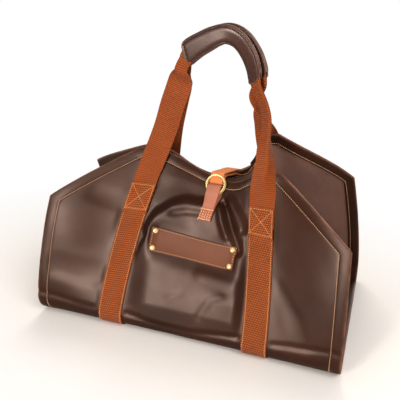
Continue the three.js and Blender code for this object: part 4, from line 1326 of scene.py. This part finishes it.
def row_on_sheet(corners, offset, closed=False, inside=False, hand=0):
    """A row of stitches through corners (u, a) of the sheet; with a hand, u is from that strap's middle."""
    line = []
    corners = [*corners, corners[0]] if closed else list(corners)
    for (u0, a0), (u1, a1) in zip(corners[:-1], corners[1:]):
        count = max(2, int(math.hypot(u1 - u0, a1 - a0) / 2))
        share = np.arange(count) / count
        line.append(np.stack([mix(u0, u1, share), mix(a0, a1, share)], -1))
    if not closed:
        line.append(np.array([corners[-1]], float))
    line = np.concatenate(line)
    u, a = line[:, 0], line[:, 1]
    if hand:
        u = across_strap(hand, a, u[:, None])[:, 0]
    points = on_sheet(u, a, np.broadcast_to(offset, u.shape))
    outs = face_normal(face_point, u, a) * (-1 if inside else 1)
    return points, outs, closed


def hem_corners():
    top = HALF_LENGTH - STITCH_IN
    side = SHEET_WIDTH / 2 - STITCH_IN
    corner = CORNER_START + STITCH_IN * (1 - CORNER_SLANT) / CORNER_SLOPE
    top_half = float(side_edge(STITCH_IN, top))
    right = [(top_half, -top), (side, -corner), (side, corner), (top_half, top)]
    return [*right, *[(-u, a) for u, a in reversed(right)]]


def make_stitches():
    """The hem, the straps' edges, their crossed boxes and the patch's border."""
    hem = hem_corners()
    within = HEM_THREAD_SUNK - 2 * LEATHER
    rows = [row_on_sheet(hem, -HEM_THREAD_SUNK, True), row_on_sheet(hem, within, True, inside=True)]
    sew("hem", rows, THREAD, "bag")
    rows = []
    over = CLEAR + STRAP_THICK - THREAD_SUNK
    box_over = over + STRAP_THICK + CLEAR
    half = STRAP / 2 - STRAP_STITCH_IN
    for hand in (-1, 1):
        for u in (-half, half):
            rows.append(row_on_sheet([(u, -BOX_BOTTOM + 8), (u, BOX_BOTTOM - 8)], over, hand=hand))
        for side in (FRONT, BACK):
            low, high = side * (BOX_BOTTOM + 1), side * (BOX_TOP - 3)
            box = [(-half, low), (half, low), (half, high), (-half, high)]
            rows.append(row_on_sheet(box, box_over, True, hand=hand))
            for cross in (box[::2], box[1::2]):
                rows.append(row_on_sheet(cross, box_over, hand=hand))
    sew("strap", rows, STRAP_THREAD, "bag", pitch=3.2, length=2.4, width=1.0)
    u, up = PATCH_HALF - PATCH_STITCH_IN, PATCH_TALL / 2 - PATCH_STITCH_IN
    low, high = -(PATCH_MIDDLE - up), -(PATCH_MIDDLE + up)
    border = [(-u, low), (u, low), (u, high), (-u, high)]
    rows = [row_on_sheet(border, CLEAR + PATCH_THICK - THREAD_SUNK, True)]
    sew("patch", rows, THREAD, "bag", pitch=4.4, length=2.5, width=1.0)


def rivet_outline():
    """Half of a rivet's outline with its burr, from the peened end to the top of the domed head."""
    head, back, seat = RIVET_HEAD / 2, -LEATHER - CLEAR, CLEAR + PATCH_THICK
    rim = seat + RIVET_RIM
    outline = [(0, back - PEENED_RISE), (SHANK * PEENED_SHARE, back - PEENED_EDGE_RISE)]
    outline += [(SHANK, back - BURR_RISE), (BURR, back - BURR_RISE), (BURR, back), (SHANK, back)]
    outline += [(SHANK, seat), (head - RIVET_BEVEL, seat), (head, rim)]
    outline += [(head * math.cos(t), rim + RIVET_RISE * math.sin(t)) for t in np.linspace(0.2, 1.45, 7)]
    return [*outline, (0, rim + RIVET_RISE)]


def turned_body(outline, around):
    """Points and faces of a round closed body from half of its outline, whose ends lie on its axis."""
    turns = np.linspace(0, 2 * math.pi, around + 1)[:-1]
    points = [(0, 0, outline[0][1])]
    for r, z in outline[1:-1]:
        points += [(r * math.cos(t), r * math.sin(t), z) for t in turns]
    points.append((0, 0, outline[-1][1]))
    last_ring = 1 + (len(outline) - 3) * around
    faces = []
    for k in range(around):
        following = (k + 1) % around
        faces.append((0, 1 + following, 1 + k))
        for base in range(1, last_ring, around):
            faces.append((base + k, base + following, base + around + following, base + around + k))
        faces.append((last_ring + k, last_ring + following, len(points) - 1))
    return points, faces


def make_rivets():
    """Four rivets with domed heads, and their burrs inside the bag."""
    kinds = (("Geometry", GEOMETRY), ("Rivet", "NodeSocketObject"), ("Metal", "NodeSocketMaterial"))
    tree, given = group("Rivets", [(key, kind, None) for key, kind in kinds], [], "GeometryNodeTree")
    shape = node(tree, "GeometryNodeObjectInfo", {"Object": given["Rivet"]})
    stood = node(tree, "FunctionNodeAlignRotationToVector", {"Vector": faces_out(tree)}, axis="Z")
    placed = node(
        tree, "GeometryNodeInstanceOnPoints",
        {"Points": given["Geometry"], "Instance": shape.outputs["Geometry"], "Rotation": stood.outputs[0]},
    )
    finish_tree(tree, placed.outputs[0], given["Metal"])
    rivet = new_object("rivet_shape", *turned_body(rivet_outline(), RIVET_AROUND))
    u = np.array([-1, -1, 1, 1]) * (PATCH_HALF - RIVET_INSET)
    a = -(PATCH_MIDDLE + np.array([-1, 1, -1, 1]) * (PATCH_TALL / 2 - RIVET_INSET))
    outs = face_normal(face_point, u, a)
    rivets = made_by(tree, "patch_rivets", face_point(u, a), outs, [], {"Rivet": rivet, "Metal": BRASS})
    bpy.data.objects.remove(rivet)
    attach(rivets, "bag")
    places = [f"{end}_{level}" for end in ("left", "right") for level in ("low", "high")]
    names = [f"{kind}_{place}" for kind in ("patch_rivet", "rivet_burr") for place in places]
    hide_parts(*names)


make_panel()
make_belly_strap("belly_strap_left", -1)
make_belly_strap("belly_strap_right", 1)
make_handle(FRONT, "front")
make_handle(BACK, "back")
make_patch()
make_closure()
make_stitches()
make_rivets()


# Stage: a pale floor that turns white away from the bag, soft light, and the camera
FLOOR_REACH = 3000.0
FLOOR_TONE = (0.8, 0.75, 0.7, 1.0)
FLOOR_MIRRORED_TONE = (0.25, 0.22, 0.2, 1.0)
FLOOR_OVAL_SHARE = (0.62, 1.0, 1.0)
WORLD_STRENGTH = 0.4
WORLD_MIRROR_DIM = 0.6

# Lights: name, place, height of aim, size in metres, watts, tint, and whether surfaces mirror it
LIGHTS = (
    ("window", (1150, -1000, 1500), 150, (1.2, 1.0), 27, (1.0, 0.99, 0.97), False),
    ("top_back", (-300, 900, 1600), 100, (0.7, 0.5), 13, (1.0, 0.98, 0.95), False),
    ("front_panel", (-480, -1850, 730), 120, (0.34, 0.7), 24, (1.0, 0.94, 0.9), True),
    ("front_glow", (-470, -1850, 680), 120, (0.7, 1.1), 4, (1.0, 0.94, 0.9), True),
    ("left_panel", (230, -1900, 680), 150, (0.5, 0.5), 0.8, (1.0, 0.86, 0.78), True),
    ("back_panel", (500, 1900, 700), 150, (1.3, 0.8), 13, (1.0, 0.98, 0.96), True),
)


def make_floor():
    made, tree, shader = new_material("floor")
    place = node(tree, "ShaderNodeTexCoord").outputs["Object"]
    oval = vector_maths(tree, "MULTIPLY", {0: place, 1: FLOOR_OVAL_SHARE})
    away = vector_maths(tree, "LENGTH", {0: oval}, "Value")
    path = node(tree, "ShaderNodeLightPath").outputs
    white = maths(tree, "MULTIPLY", path["Is Camera Ray"], spread(tree, away, 0.2, 0.46))
    tone = mixed(tree, path["Is Glossy Ray"], FLOOR_TONE, FLOOR_MIRRORED_TONE)
    link(tree, tone, shader, "Base Color")
    shader.inputs["Roughness"].default_value = 0.7
    glow = node(tree, "ShaderNodeEmission", {"Color": WHITE, "Strength": 1.0})
    both = node(tree, "ShaderNodeMixShader", {0: white, 1: shader.outputs[0], 2: glow.outputs[0]})
    out = next(n for n in tree.nodes if n.type == "OUTPUT_MATERIAL")
    tree.links.new(both.outputs[0], out.inputs["Surface"])
    corners = [(x * FLOOR_REACH, y * FLOOR_REACH, 0) for x, y in ((-1, -1), (1, -1), (1, 1), (-1, 1))]
    floor = new_object("floor", corners, [(0, 1, 2, 3)], materials=[made])


def make_world():
    world = bpy.data.worlds.new("studio")
    bpy.context.scene.world = world
    world.use_nodes = True
    tree = world.node_tree
    tree.nodes.clear()
    path = node(tree, "ShaderNodeLightPath").outputs
    seen = maths(tree, "MAXIMUM", path["Is Camera Ray"], path["Is Transmission Ray"])
    dimmer = maths(tree, "SUBTRACT", 1.0, maths(tree, "MULTIPLY", path["Is Glossy Ray"], WORLD_MIRROR_DIM))
    strong = maths(tree, "MULTIPLY", dimmer, WORLD_STRENGTH)
    soft = node(tree, "ShaderNodeBackground", {"Color": WHITE, "Strength": strong})
    plain = node(tree, "ShaderNodeBackground", {"Color": WHITE, "Strength": 1.0})
    both = node(tree, "ShaderNodeMixShader", {0: seen, 1: soft.outputs[0], 2: plain.outputs[0]})
    out = node(tree, "ShaderNodeOutputWorld")
    tree.links.new(both.outputs[0], out.inputs["Surface"])


def add_light(name, place, aim, size, power, tint, mirrored):
    lamp = bpy.data.lights.new(name, "AREA")
    lamp.shape = "RECTANGLE"
    lamp.size, lamp.size_y = size
    lamp.energy = power
    lamp.color = tint
    obj = bpy.data.objects.new(name, lamp)
    obj.visible_glossy = mirrored
    obj.location = Vector(place) * METRES
    obj.rotation_euler = (Vector((0, 0, aim)) - Vector(place)).to_track_quat("-Z", "Y").to_euler()
    bpy.context.scene.collection.objects.link(obj)


def make_camera():
    lens = bpy.data.cameras.new("camera")
    lens.lens = CAMERA_LENS_MM
    lens.sensor_width = CAMERA_SENSOR_MM
    lens.clip_start = 0.05
    obj = bpy.data.objects.new("camera", lens)
    eye, target = Vector(CAMERA_EYE), Vector(CAMERA_TARGET)
    obj.location = eye * METRES
    obj.rotation_euler = (target - eye).to_track_quat("-Z", "Y").to_euler()
    bpy.context.scene.collection.objects.link(obj)
    bpy.context.scene.camera = obj


make_floor()
make_world()
for light in LIGHTS:
    add_light(*light)
make_camera()
bpy.context.scene.view_settings.view_transform = "Standard"
